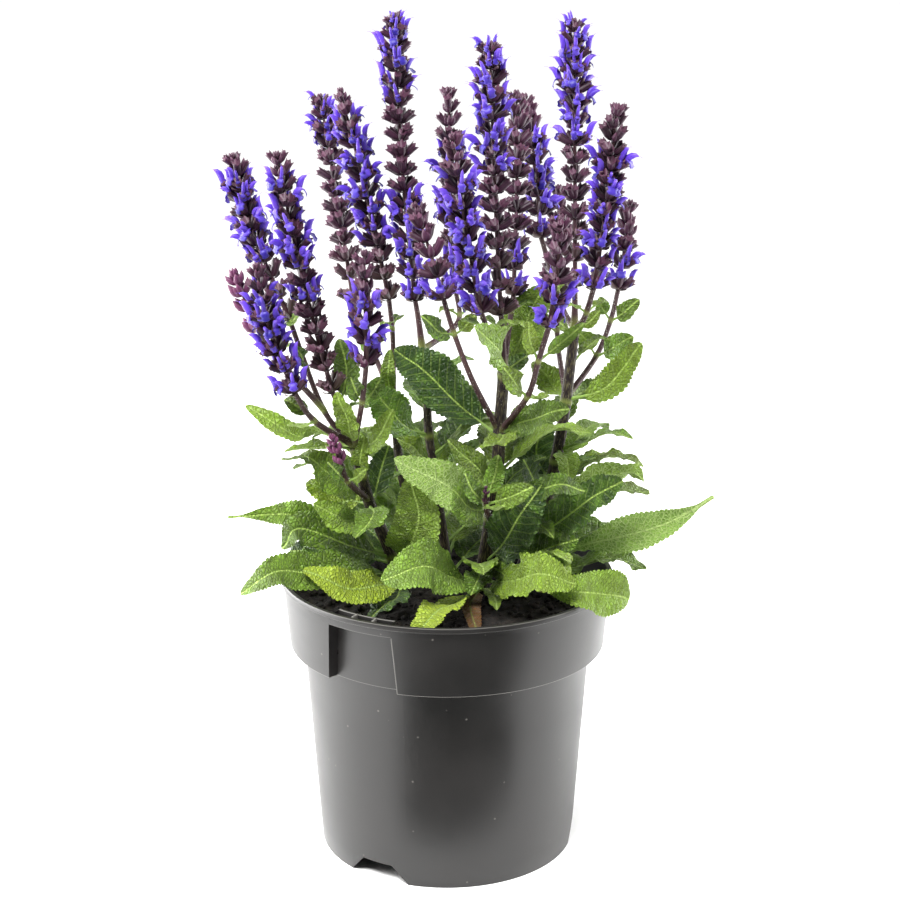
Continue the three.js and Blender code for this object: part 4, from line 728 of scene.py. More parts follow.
def pot_material():
    """Recycled polypropylene, injection moulded: charcoal, satin, with faint scuffs and dust, and a
    pale highlight painted along its edges.

    The blade vector's first number is how strongly a pale highlight is painted along an edge. The
    mould's grain is 0.1 mm, too fine to show, and is drawn 0.9 mm across. The gloss is cloudy over
    45 mm, and specks of dust lie about 11 mm apart.
    """
    material, tree, shader = new_material("moulded_polypropylene")
    place = add(tree, "TexCoord", out="Object")
    (edge, _, _), _ = read_tags(tree)
    grain = add(tree, "TexNoise", place, 1 / (0.9 * MM), 2.0)
    cloud = add(tree, "TexNoise", place, 1 / (45 * MM), 4.0)
    speck = add(tree, "TexVoronoi", place, 1 / (11 * MM))
    dust = add(tree, "MapRange", speck, 0.03, 0.07, 0.55, 0)
    plastic = "#181716"
    # Pale along the edges by the blade vector's first number: a painted highlight where the rounded
    # edges catch the light.
    for share, colour in ((add(tree, "MapRange", cloud, 0.3, 0.7), "#201e1d"),
                          (add(tree, "Math", edge, 0.5, operation="MULTIPLY"), "#a8a59f"),
                          (dust, "#6f6b65")):
        plastic = add(tree, "Mix", share, plastic, colour, data_type="RGBA")
    rough = add(tree, "MapRange", cloud, 0.3, 0.7, 0.36, 0.46)
    rough = add(tree, "Math", dust, 0.4, rough, operation="MULTIPLY_ADD")
    set_shader(shader, Base_Color=plastic, Roughness=rough, IOR=1.49,
               Normal=add(tree, "Bump", 0.08, 0.0003, None, grain))
    return material


def soil_material():
    """Moist peat and composted bark: nearly black, with brown fibres, in crumbs of 3.5 mm."""
    material, tree, shader = new_material("peat_and_bark")
    place = add(tree, "TexCoord", out="Object")
    lumps = add(tree, "TexNoise", place, 1 / (3.5 * MM), 6.0, 0.7)
    brown = add(tree, "Mix", add(tree, "MapRange", lumps, 0.42, 0.75), "#0c0a08", "#2a2018",
                data_type="RGBA")
    set_shader(shader, Base_Color=brown, Roughness=0.85, Specular_IOR_Level=0.3,
               Normal=add(tree, "Bump", 1.0, 0.0015, None, lumps))
    return material


def down_material():
    """Fine white plant hair, which catches the light along a stem's edge."""
    material, _, shader = new_material("plant_down")
    set_shader(shader, Base_Color="#d9dccb", Roughness=0.6)
    return material


LEAF_TOP = leaf_material("salvia_leaf_upper", "#1e380c", "#6c942b", "#9fba58", 0.38, 0.05, 1.0,
                         0.46)
LEAF_UNDER = leaf_material("salvia_leaf_under", "#46622a", "#6f8f3a", "#a9c072", 0.7, 0.45, -0.7,
                           0.6)
STEM_SKIN = stem_material()
CALYX = calyx_material()
PETAL = petal_material()
PLASTIC = pot_material()
SOIL = soil_material()
DOWN = down_material()


# ---------------------------------------------------------------- leaves

def half_width(width, belly, necked, s):
    """Half a blade's width at s, from 0 where the blade begins to 1 at its blunt tip."""
    round_share = max(0, math.sin(math.pi * s ** (math.log(0.5) / math.log(belly))))
    fullness = necked or (0.75 if s < belly else 0.52)
    return max(PETIOLE_WIDTH / 2, width / 2 * round_share ** fullness)


def listed_leaf(curve, entry):
    """A leaf from its row in the table, with its base brought onto its stem."""
    path, width, face, *rest = entry
    tip_face = rest[0] if rest else face
    belly = rest[1] if len(rest) > 1 else BELLY
    points = vectors(path)
    points[0] = nearest_on(curve, points[0])
    return {"points": points, "width": width, "face": Vector(face), "tip_face": Vector(tip_face),
            "belly": belly}


def arched_leaf(curve, share, degrees, length, width, arch):
    """A leaf that arches out and down from its stem in one direction."""
    base, out = along(curve, share), on_circle(1, degrees, 0)
    points = [base + out * (across * length) + Vector((0, 0, up * arch * length))
              for across, up in ARCH]
    face = Vector(UP) + out * ARCH_TILT
    return {"points": points, "width": width, "face": face, "tip_face": face, "belly": BELLY}


def share_at(curve, height):
    """How far along a curve it reaches a height, in the same steps as the solids' rule takes."""
    t = 0
    while along(curve, t).z < height:
        t += 0.002
    return t


def fan_leaves(name):
    """The arching leaves of a stem's fan, higher arched the higher they stand."""
    curve = stem_curve(name)
    leaves = []
    for height, degrees, length in FANS[name]:
        high = min((height - SOIL_LEVEL) / (ARCH_HIGH_FROM - SOIL_LEVEL), 1)
        arch = mix(ARCH_LOW, ARCH_HIGH, high)
        leaves.append(arched_leaf(curve, share_at(curve, height), degrees, length,
                                  length * FAN_SLENDER, arch))
    return leaves


def stalk_pair(name):
    """Two small leaves across from each other on a longer stalk that has no listed ones."""
    curve = curve_of(name)
    if name in LEAVES or (curve[-1] - curve[0]).length < STALK_PAIR["stalk_over"]:
        return []
    degrees = STALK_PAIR["turn"] * len(SPIKES[name][3])
    return [arched_leaf(curve, STALK_PAIR["share"], angle, STALK_PAIR["length"],
                        STALK_PAIR["width"], ARCH_HIGH)
            for angle in (degrees, degrees + 180)]


def bent(leaf, around, lift):
    """The leaf turned at its base, round the upright and up or down, both in degrees."""
    base = leaf["points"][0]
    out = leaf["points"][-1] - base
    hinge = Vector((out.x, out.y, 0)).normalized().cross(Vector(UP))
    turn = (Matrix.Rotation(math.radians(around), 3, "Z")
            @ Matrix.Rotation(math.radians(lift), 3, hinge))
    return {**leaf, "points": [turn @ (p - base) + base for p in leaf["points"]],
            "face": turn @ leaf["face"], "tip_face": turn @ leaf["tip_face"]}


def leaves_of(name):
    """The leaves of a stem or spike, bent as its solid has them; one without room is left out."""
    curve = curve_of(name)
    wanted = [listed_leaf(curve, entry) for entry in LEAVES.get(name, [])]
    for index, leaf in enumerate(wanted):
        leaf["listed"], leaf["tint"] = True, LEAF_TINTS.get((name, index))
        leaf["necked"] = NECKED.get((name, index))
    wanted += fan_leaves(name) if name in STEMS else stalk_pair(name)
    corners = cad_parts[name].data.vertices
    tree = KDTree(len(corners))
    for index, corner in enumerate(corners):
        tree.insert(corner.co / MM, index)
    tree.balance()
    found = []
    for leaf in wanted:
        for around, lift in BENDS:
            trial = bent(leaf, around, lift)
            if tree.find(trial["points"][-1])[2] < 0.03:
                found.append(trial)
                break
    return found


def petiole_share(length):
    """How much of a leaf's length is its stalk."""
    return (PETIOLE_LENGTH + PETIOLE_SHARE * length) / length


def grow_leaf(bm, leaf, seed):
    """A leaf's blade, round-toothed, quilted and ruffled, with an upper and a lower skin."""
    rng = random.Random(seed)
    points, width, belly = leaf["points"], leaf["width"], leaf["belly"]
    length = length_of(points)
    petiole = petiole_share(length)
    blade_length = length * (1 - petiole)
    teeth = max(5, round(blade_length / TOOTH_PITCH))
    small = length < SMALL_LEAF
    rows = teeth * (3 if small else 4)
    across = ACROSS_SMALL if small else ACROSS
    n = len(across) - 1
    phases = [rng.uniform(0, 1), rng.uniform(0, 1)]
    ruffles = rng.uniform(2.0, 4.2)
    calm = min(1, length / FULL_RUFFLES) * (1 if leaf.get("listed") else 0.7)
    ruffle_height = rng.uniform(0.05, 0.1) * width * calm
    sway = rng.uniform(0, 1)
    sidle = rng.choice((-1, 1)) * rng.uniform(0.015, 0.045) * length
    curl = rng.uniform(-0.02, 0.09) * length
    drift = Vector((rng.uniform(0, 50), rng.uniform(0, 50), 0))
    yellow, dark, *rest = leaf.get("tint") or (rng.uniform(0, 0.28), rng.uniform(-0.35, 0.35))
    # A third tint number is painted shade, which darkens the blade towards its stem.
    painted_shade_at_stem = rest[0] if rest else dark

    # Along the blade: how it rolls, curls down at its tip and sways to one side.
    stations = []
    for row in range(rows + 1):
        s = row / rows
        t = mix(petiole, 1, s)
        forward = heading(points, t)
        normal = squared(leaf["face"].lerp(leaf["tip_face"], t), forward)
        half = half_width(width, belly, leaf.get("necked"), s) if row < rows else 0
        roll = ROLL * length * math.sin(math.tau * (1.2 * s + sway)) * math.sin(math.pi * s)
        roll -= curl * max(0, (s - 0.65) / 0.35) ** 2
        side = forward.cross(normal)
        centre = along(points, t) + normal * roll + side * (sidle * math.sin(math.pi * 1.5 * s) * s)
        stations.append((s, centre, normal, side, half))

    # Across it: its teeth, fold, ruffles, the puffs between its ribs, and its small lumps.
    def place(row, column):
        top = column <= n
        v = across[column if top else 2 * n - column]
        s, centre, normal, side, half = stations[row]
        a = abs(v)
        scallop = abs(math.sin(math.pi * teeth * s)) ** TOOTH_FULLNESS - TOOTH_MIDDLE
        reach = v * (half + scallop * min(1, half / FULL_TEETH) ** 1.5 * a ** 5)
        along_mm = s * blade_length
        rib = (along_mm - RIB_SLANT * abs(reach)) / RIB_SPACING + (0.5 if v < 0 else 0)
        lift = FOLD * half * a ** 1.35 - v * FLUTTER * width * math.sin(9 * s)
        wave = math.sin(math.tau * (ruffles * s + phases[v > 0]))
        wave += 0.25 * math.sin(math.tau * (2.7 * ruffles * s + phases[v < 0]))
        lift += ruffle_height * a * a * wave * min(1, 6 * s, 6 * (1 - s))
        puff = math.sin(math.pi * (rib % 1)) * min(1, a * 4) * (1 - a ** 4) - 0.4
        lift += puff * min(PUFF, PUFF_FOR_WIDTH * half)
        lump = LUMP * noise.noise(Vector((along_mm, reach, 0)) / LUMP_SPACING + drift)
        lift += lump * min(1, half / FULL_LUMPS)
        if not top:
            keel = MIDRIB_KEEL * (1 - 0.8 * s) if v == 0 else 0
            lift -= BLADE_THICKNESS * (1 - a ** 6) + keel
        tint = (yellow, mix(painted_shade_at_stem, dark, min(1, 2.3 * row / rows)), a)
        return centre + side * reach + normal * lift, (along_mm, reach, rib), tint

    corners = sheet(bm, rows, 2 * n, place)
    column_of = {vert: index % (2 * n + 1) for index, vert in enumerate(corners)}
    tint_layer = tags(bm)[1]
    for face in {face for vert in corners for face in vert.link_faces}:
        below = min(column_of[vert] for vert in face.verts) >= n
        if below or all(vert[tint_layer].y <= PALE for vert in face.verts):
            face.material_index = 1
        for edge in face.edges:
            edge.smooth = not all(column_of[vert] % n == 0 for vert in edge.verts)
    bmesh.ops.remove_doubles(bm, verts=corners, dist=WELD)


def grow_petiole(bm, leaf):
    """The leaf's stalk, from inside its stem to a little way up under the blade."""
    points = leaf["points"]
    length = length_of(points)
    end = min(petiole_share(length) + 4 / length, 0.6)
    slim = min(PETIOLE_WIDTH / 2, 0.5 + 0.012 * length)
    rings = []
    for i in range(7):
        t = end * i / 6
        forward = heading(points, t)
        normal = squared(leaf["face"].lerp(leaf["tip_face"], t), forward)
        centre = along(points, t) - normal * (0.55 * slim)
        rings.append((centre, forward, slim * mix(1.15, 0.55, i / 6)))
    tube(bm, rings, 6, lambda angle: 1, lambda row, column: (row, column / 6, 0.4), (0.85, 0, 0))


# ---------------------------------------------------------------- stems

def stem_samples(curve, step):
    """(centre, forward, millimetres along) every so often along a curve."""
    count = max(4, round(length_of(curve) / step))
    samples, reached, last = [], 0, None
    for i in range(count + 1):
        place = along(curve, i / count)
        reached += (place - last).length if last else 0
        samples.append((place, heading(curve, i / count), reached))
        last = place
    return samples


def square_shape(angle):
    """A square stem's section: four rounded corners, with a groove down each flat face."""
    return 1 + 0.09 * math.cos(4 * (angle - math.pi / 4)) + 0.025 * math.cos(12 * angle)


def grow_stem(bm, samples, widths, joints, maroon):
    """A square stem's skin, which swells at its joints: (millimetres along, how far it shows)."""
    total = samples[-1][2]
    rings, facts = [], []
    for centre, forward, reached in samples:
        joint = max([math.exp(-((reached - at) / reach) ** 2) for at, reach in joints] or [0])
        radius = mix(*widths, reached / total) / 2 * SQUARE_MEAN * (1 + JOINT_SWELL * joint)
        rings.append((centre, forward, radius))
        facts.append((reached, joint))
    tube(bm, rings, 16, square_shape,
         lambda row, column: (facts[row][0], column / 16, facts[row][1]), (0, maroon, 0))


def joint_distances(samples, bases):
    """How far along a stem each of these attachments is."""
    return [min(samples, key=lambda sample: (sample[0] - base).length)[2] for base in bases]


def grow_down(bm, samples, widths, seed):
    """Short pale hairs that stand off a stem."""
    rng = random.Random(seed)
    total = samples[-1][2]
    for _ in range(round(total * HAIRS_PER_MM)):
        centre, forward, reached = rng.choice(samples)
        radius = mix(*widths, reached / total) / 2 * 1.1
        side, other = square_to(forward)
        angle = rng.uniform(0, math.tau)
        out = side * math.cos(angle) + other * math.sin(angle)
        lean = (out + forward * rng.uniform(-0.5, 0.7)).normalized()
        foot = centre + out * (radius * 0.9) + forward * rng.uniform(-1.5, 1.5)
        turn = lean.to_track_quat("Z", "Y").to_matrix().to_4x4()
        size = rng.uniform(0.9, 1.5)
        bmesh.ops.create_cone(
            bm, cap_ends=True, segments=3, radius1=0.07, radius2=0.01, depth=size,
            matrix=Matrix.Translation(foot + lean * (size / 2)) @ turn)


def cover_in_down():
    """The down of every stem above the soil, and of every stalk."""
    bm = bmesh.new()
    for name in STEMS:
        above = stem_samples(stem_curve(name), DOWN_STEP)[round(ROOT_DEPTH / DOWN_STEP):]
        grow_down(bm, above, stem_widths(name), name)
    for name in SPIKES:
        grow_down(bm, stem_samples(curve_of(name), DOWN_STEP), stalk_widths(name), name)
    finish_piece("stem_down", bm, [DOWN])


# ---------------------------------------------------------------- flowers

def tier_shares(count):
    """How far up the flowering axis each tier stands: well apart below, crowded at the tip."""
    room = [1 + 0.4 * math.exp(-i / 1.2) - 0.45 * math.exp(-(count - 1 - i) / 1.8)
            for i in range(count)]
    total, reached, shares = sum(room), 0, []
    for value in room:
        shares.append(reached / total)
        reached += value
    return shares


def ribbon(bm, path, widths, depths, columns, part):
    """A closed limb along a path in the flower's upright middle plane.

    widths are across that plane and depths in it, at each point of the path. The blade vector is
    the share of the way along, and the part: 0 for a hood, 1 for a lip, 2 for a style.
    """
    last = len(path) - 1

    def place(row, column):
        k = min(max(row - 1, 0), last)
        here = Vector((path[k][0], 0, path[k][1]))
        behind, ahead = path[max(k - 1, 0)], path[min(k + 1, last)]
        forward = Vector((ahead[0] - behind[0], 0, ahead[1] - behind[1])).normalized()
        normal = Vector((forward.z, 0, -forward.x))
        if row == k + 1:
            angle = math.tau * (column % columns) / columns
            here = (here + Vector((0, widths[k] * math.cos(angle), 0))
                    + normal * (depths[k] * math.sin(angle)))
        return here, (k / last, part, 0)

    corners = sheet(bm, last + 2, columns, place)
    bmesh.ops.remove_doubles(bm, verts=corners, dist=WELD)


def prototype(build):
    """A flower part built once: its mesh, and what each of its corners carries."""
    bm = bmesh.new()
    build(bm)
    bmesh.ops.recalc_face_normals(bm, faces=bm.faces)
    layer = tags(bm)[0]
    carried = [vert[layer].copy() for vert in bm.verts]
    return mesh_of(bm, "flower_part"), carried


def calyx_part(bm):
    """A bell that opens in five teeth, closed by a funnel inside it."""
    forward, normal = Vector((0.72, 0, 0.69)), Vector((-0.69, 0, 0.72))
    bell = [((0.6, 0.2), 0), ((0.6, 0.2), 0.6), ((1.5, 0.9), 1.3), ((3.0, 2.4), 1.8),
            ((4.5, 4.2), 1.9), ((5.6, 5.5), 2.0)]
    columns, teeth = 10, len(bell)

    def place(row, column):
        (x, z), radius = bell[min(row, teeth - 1)]
        here = Vector((x, 0, z))
        if row == teeth:
            pointed = column % 2 == 0
            here = here + forward * (1.5 if pointed else 0.1)
            radius = 2.25 if pointed else 1.95
        if row > teeth:
            here, radius = Vector((3.0, 0, 2.4)) + forward, 0
        angle = math.tau * (column % columns) / columns
        return (here + Vector((0, radius * math.cos(angle), 0))
                + normal * (radius * math.sin(angle)),
                (min(row, teeth) / teeth, column / columns, 0))

    corners = sheet(bm, teeth + 1, columns, place)
    bmesh.ops.remove_doubles(bm, verts=corners, dist=WELD)


def swung(path, angle):
    """A path turned about its first point, in the flower's upright middle plane."""
    foot = Vector(path[0])
    turn = Matrix.Rotation(angle, 2)
    return [tuple(foot + turn @ (Vector(point) - foot)) for point in path]


def corolla_part(bm, hood_turn, lip_turn, lip_size):
    """An open flower: its tube and sickle hood, its lobed lower lip and its style."""
    hood = [(6.7, 6.9), (7.2, 8.8), (8.0, 10.4), (9.3, 11.7), (10.9, 12.3)]
    ribbon(bm, [(4.0, 3.4), (5.4, 5.2), *swung(hood, hood_turn)],
           [0.8, 1.0, 1.15, 1.05, 0.95, 0.75, 0.25], [0.8, 1.1, 1.6, 1.8, 1.7, 1.15, 0.3], 6, 0)
    lip = [(6.2, 6.4), (7.7, 6.7), (8.8, 6.0), (9.5, 4.9), (9.9, 3.6), (9.7, 2.6)]
    ribbon(bm, swung(lip, lip_turn),
           [lip_size * half for half in (0.9, 1.7, 2.6, 1.8, 2.4, 1.2)],
           [0.5, 0.3, 0.26, 0.2, 0.2, 0.14], 6, 1)
    style = swung([*hood[:3], (10.4, 12.1), (11.8, 12.8), (13.2, 13.0)], hood_turn)[3:]
    ribbon(bm, style, [0.1, 0.09, 0.06], [0.1, 0.09, 0.06], 3, 2)


def bud_part(bm):
    """A closed calyx, an egg with a point."""
    ribbon(bm, [(0.7, 0.0), (1.6, 0.9), (2.8, 2.2), (3.6, 3.7), (4.2, 5.3)],
           [0.6, 1.35, 1.6, 1.1, 0.15], [0.6, 1.25, 1.45, 1.0, 0.12], 7, 0)


def bract_part(bm):
    """The small pointed leaf under each group of flowers."""
    ribbon(bm, [(0.8, -0.8), (2.2, -0.7), (3.6, 0.0), (4.8, 1.2), (5.4, 2.4)],
           [0.6, 2.2, 2.5, 1.4, 0.1], [0.3, 0.2, 0.16, 0.14, 0.1], 6, 0)


CALYX_PART = prototype(calyx_part)
COROLLA_PARTS = [
    prototype(lambda bm, shape=shape: corolla_part(bm, *shape))
    for shape in ((0.0, 0.0, 1.0), (0.35, -0.45, 0.9), (-0.35, 0.3, 1.1), (0.15, -0.8, 0.75))
]
BUD_PART = prototype(bud_part)
BRACT_PART = prototype(bract_part)


def stamp(bm, part, matrix, tint):
    """Adds a flower part in its place, with its tint."""
    mesh, carried = part
    placed = mesh.copy()
    placed.transform(matrix)
    before = len(bm.verts)
    bm.from_mesh(placed)
    bpy.data.meshes.remove(placed)
    blade_layer, tint_layer = tags(bm)
    bm.verts.ensure_lookup_table()
    for vert, blade in zip(bm.verts[before:], carried):
        vert[blade_layer] = blade
        vert[tint_layer] = tint


def flower_place(centre, forward, turn, lean, size, twist=0):
    """Stands a flower part on its axis: turned round it, leaned out or in, twisted, and sized."""
    axes = Matrix((*square_to(forward), forward)).transposed().to_4x4()
    return (Matrix.Translation(centre) @ axes @ Matrix.Rotation(turn, 4, "Z")
            @ Matrix.Rotation(lean, 4, "Y") @ Matrix.Rotation(twist, 4, "X")
            @ Matrix.Scale(size, 4))


def flower_tiers(name):
    """The calyces, buds, bracts and open flowers of a spike, tier by tier."""
    _, stalk, axis, tiers = SPIKES[name]
    flowering = vectors([stalk[-1], *axis])
    count = len(tiers)
    rng = random.Random(name)
    calyces, corollas = bmesh.new(), bmesh.new()
    magenta = 0.9 if name in MAGENTA_BUDS else 0.0
    unopened = not tiers.strip("b")
    for index, (share, kind) in enumerate(zip(tier_shares(count), tiers)):
        centre, forward = along(flowering, share), heading(flowering, share)
        near_tip = math.exp(-(count - 1 - index) / 1.2)
        closed = kind == "b" or (kind == "c" and near_tip > 0.15)
        size = (1 - 0.3 * near_tip) * min(0.3 * count - 0.2, LARGEST_FLOWERS)
        size *= UNOPENED_SIZE if unopened else CLOSED_SIZE if closed else 1
        first = (index + 0.5) * math.pi / 2 + rng.uniform(-0.15, 0.15)
        green = max(0.0, 0.5 - share * 1.6) if kind == "c" else 0.0
        for side in () if closed else (0, math.pi):
            place = flower_place(centre, forward, first + side, 0.1, size)
            stamp(calyces, BRACT_PART, place, (0.3, max(0.1, 0.7 - 2 * share), 0))
        for offset in [side + aside for side in (0, math.pi) for aside in FLOWER_FAN]:
            turn = first + offset + rng.uniform(-0.12, 0.12)
            grown = size * rng.uniform(0.85, 1.1)
            tint = (rng.uniform(0, 1), green * rng.uniform(0.5, 1.2),
                    magenta + (rng.uniform(0, 0.25) if kind == "b" else 0.04))
            lean = rng.uniform(-0.25, 0.05) if closed else rng.uniform(-0.25, 0.36)
            twist = rng.uniform(-0.25, 0.25)
            place = flower_place(centre, forward, turn, lean, grown, twist)
            plain_bud = closed and (rng.random() < BUD_SHARE or unopened)
            stamp(calyces, BUD_PART if plain_bud else CALYX_PART, place, tint)
            if kind == "o" and rng.random() < OUT_SHARE - 0.4 * near_tip:
                place = flower_place(centre, forward, turn, lean * 0.7 - 0.06,
                                     grown * rng.uniform(0.78, 1.0), twist * 1.4)
                stamp(corollas, rng.choice(COROLLA_PARTS), place, (rng.uniform(0, 1), 0, 0))
    tip, forward = along(flowering, 0.985), heading(flowering, 1)
    for turn in TIP_FAN:
        place = flower_place(tip, forward, turn, -0.35, 0.7 * size)
        stamp(calyces, BUD_PART, place, (rng.uniform(0, 1), 0.1, magenta + 0.1))
    return calyces, corollas


def grow_foliage(name, piece, bm, leaves):
    """Finishes a stem or stalk with its leaves' own stalks, and grows the blades."""
    for leaf in leaves:
        grow_petiole(bm, leaf)
    finish_piece(f"{name}_{piece}", bm, [STEM_SKIN], [name])
    if leaves:
        blades = bmesh.new()
        for index, leaf in enumerate(leaves):
            grow_leaf(blades, leaf, f"{name} leaf {index}")
        finish_piece(f"{name}_leaves", blades, [LEAF_TOP, LEAF_UNDER], [name])


def grow_spike(name):
    _, stalk, axis, _ = SPIKES[name]
    leaves = leaves_of(name)
    lower = stem_samples(vectors(stalk), STEM_STEP)
    bases = [leaf["points"][0] for leaf in leaves] + branch_feet(name)
    joints = [(at, JOINT_REACH) for at in joint_distances(lower, bases)]
    bm = bmesh.new()
    grow_stem(bm, lower, stalk_widths(name), [(0, FOOT_REACH), *joints], STALK_MAROON)
    upper = stem_samples(vectors([stalk[-1], *axis]), SPIKE_STEP)[:-1]
    grow_stem(bm, upper, (STALK_TOP_WIDTH, AXIS_TIP_WIDTH), [], AXIS_MAROON)
    grow_foliage(name, "stalk", bm, leaves)
    calyces, corollas = flower_tiers(name)
    finish_piece(f"{name}_calyces", calyces, [CALYX], [name])
    if len(corollas.verts):
        finish_piece(f"{name}_flowers", corollas, [PETAL], [name])


def grow_leafy_stem(name):
    leaves = leaves_of(name)
    samples = stem_samples(stem_curve(name), STEM_STEP)
    bases = branch_feet(name) + [leaf["points"][0] for leaf in leaves if leaf.get("listed")]
    joints = []
    for at in sorted(joint_distances(samples, bases)):
        if at > ROOT_DEPTH + FIRST_JOINT and all(at - other > JOINT_SPACING for other, _ in joints):
            joints.append((at, JOINT_REACH))
    bm = bmesh.new()
    grow_stem(bm, samples, stem_widths(name), joints, 0)
    grow_foliage(name, "stem", bm, leaves)


# ---------------------------------------------------------------- pot and soil

def recess_radius(height):
    share = (height - COLLAR_BOTTOM) / (POT_HEIGHT - COLLAR_BOTTOM)
    return mix(RECESS["bottom_radius"], RECESS["top_radius"], share)


def softened(profile, radius):
    """A closed profile with each corner cut into a short round: points, and how much painted
    highlight each carries.

    A corner is a radius, a height and, where a pale highlight is painted along it, how much.
    """
    rounded = []
    count = len(profile)
    for i, point in enumerate(profile):
        here = Vector(point[:2])
        before, after = Vector(profile[i - 1][:2]), Vector(profile[(i + 1) % count][:2])
        cut_in = min(radius, (before - here).length * 0.4)
        cut_out = min(radius, (after - here).length * 0.4)
        start = here + (before - here).normalized() * cut_in
        end = here + (after - here).normalized() * cut_out
        painted_highlight = point[2] if len(point) > 2 else 0
        rounded += [(start, 0), ((start + end) * 0.25 + here * 0.5, painted_highlight), (end, 0)]
    return rounded


def collar_radius(height):
    share = (height - COLLAR_BOTTOM) / (COLLAR_TOP - COLLAR_BOTTOM)
    return mix(COLLAR_BOTTOM_RADIUS, COLLAR_TOP_RADIUS, share)


def body_radius(height):
    return mix(FOOT_RADIUS, BODY_TOP_RADIUS, height / COLLAR_BOTTOM)


def pot_profiles():
    """The wall's closed profile beside the recess and across it, with points that pair up."""
    pad_end = PAD_RADIUS + PAD_SLOPE
    foot_inner = FOOT_RADIUS - FOOT_WIDTH
    lip_inner = RIM_RADIUS - LIP_WIDTH
    # A corner's third number is how strongly a pale highlight is painted along it, standing for
    # light caught on that rounded edge.
    low = [
        (0.01, 0), (PAD_RADIUS, 0), (pad_end, FLOOR), (foot_inner, FLOOR), (foot_inner, 0),
        (FOOT_RADIUS, 0, 0.4), *[(body_radius(height), height) for height in BODY_LOOPS],
        (BODY_TOP_RADIUS, COLLAR_BOTTOM),
    ]
    rim = [
        (COLLAR_TOP_RADIUS, COLLAR_TOP), (RIM_RADIUS, COLLAR_TOP + 0.6, 0.2),
        (RIM_RADIUS - 0.5, POT_HEIGHT, 0.5),
    ]
    inside = [
        (BODY_TOP_RADIUS - WALL, COLLAR_BOTTOM + WALL), (foot_inner + FLOOR_INSET, FLOOR + WALL),
        (pad_end - FLOOR_INSET, FLOOR + WALL), (PAD_RADIUS - PAD_INSET, WALL), (0.01, WALL),
    ]
    top = RECESS["top"]
    back = recess_radius(POT_HEIGHT)
    slot = top + WALL
    plain = [
        (COLLAR_BOTTOM_RADIUS, COLLAR_BOTTOM, 1), (collar_radius(top - 2), top - 2),
        (collar_radius(top), top), *rim, (RIM_RADIUS - 1.4, POT_HEIGHT),
        (RIM_RADIUS - 1.9, POT_HEIGHT), (RIM_RADIUS - 2.4, POT_HEIGHT),
        (lip_inner, POT_HEIGHT - 0.3, 0.4),
        (lip_inner - 0.2, POT_HEIGHT - 2), (COLLAR_BOTTOM_RADIUS - WALL, COLLAR_BOTTOM + WALL),
    ]
    recess = [
        (RECESS["bottom_radius"], COLLAR_BOTTOM, 0.7), (recess_radius(top), top),
        (collar_radius(top), top, 0.5), *rim, (collar_radius(top) - 0.9, POT_HEIGHT),
        (collar_radius(top) - 1.1, slot), (back + 0.2, slot), (back, POT_HEIGHT - 0.5, 1),
        (back - WALL, POT_HEIGHT - 0.5, 1),
        (recess_radius(COLLAR_BOTTOM + 2) - WALL, COLLAR_BOTTOM + WALL),
    ]
    return [softened(low + upper + inside, CORNER_ROUND) for upper in (plain, recess)]


def recess_ends(height):
    """The angles that the recess lies between at a height; its end walls lean a little."""
    share = min(max((height - COLLAR_BOTTOM) / (COLLAR_TOP - COLLAR_BOTTOM), 0), 1)
    return mix(*RECESS_START, share), mix(*RECESS_END, share)


def cut_with(piece, cutters):
    """Takes the cutters out of a piece."""
    cutter = put("cutters", mesh_of(cutters, "cutters"))
    cut = piece.modifiers.new("cut", "BOOLEAN")
    cut.operation, cut.object, cut.solver = "DIFFERENCE", cutter, "EXACT"
    bpy.context.view_layer.update()
    solved = piece.evaluated_get(bpy.context.evaluated_depsgraph_get())
    mesh = bpy.data.meshes.new_from_object(solved)
    piece.modifiers.clear()
    piece.data = mesh
    bpy.data.objects.remove(cutter)


def drainage():
    """What the notches in the pot's foot and the holes in its floor take away, in metres."""
    bm = bmesh.new()
    for middle in NOTCH_MIDDLES:
        outward, aside = on_circle(1, middle, 0), on_circle(1, middle + 90, 0)
        for vert in bmesh.ops.create_cube(bm, size=2)["verts"]:
            x, y, z = vert.co
            radius = FOOT_RADIUS - NOTCH_IN if y < 0 else FOOT_RADIUS + NOTCH_OUT
            wide, height = (NOTCH_TOP, NOTCH_HEIGHT) if z > 0 else (NOTCH_BOTTOM, -1)
            vert.co = outward * radius + aside * (x * wide) + Vector((0, 0, height))
    for i in range(DRAIN_HOLES):
        middle = on_circle(DRAIN_CIRCLE, i * 360 / DRAIN_HOLES, FLOOR + 1)
        bmesh.ops.create_cone(bm, cap_ends=True, segments=40, radius1=DRAIN_RADIUS,
                              radius2=DRAIN_RADIUS, depth=8, matrix=Matrix.Translation(middle))
    bmesh.ops.recalc_face_normals(bm, faces=bm.faces)
    bmesh.ops.scale(bm, vec=(MM, MM, MM), verts=bm.verts)
    return bm


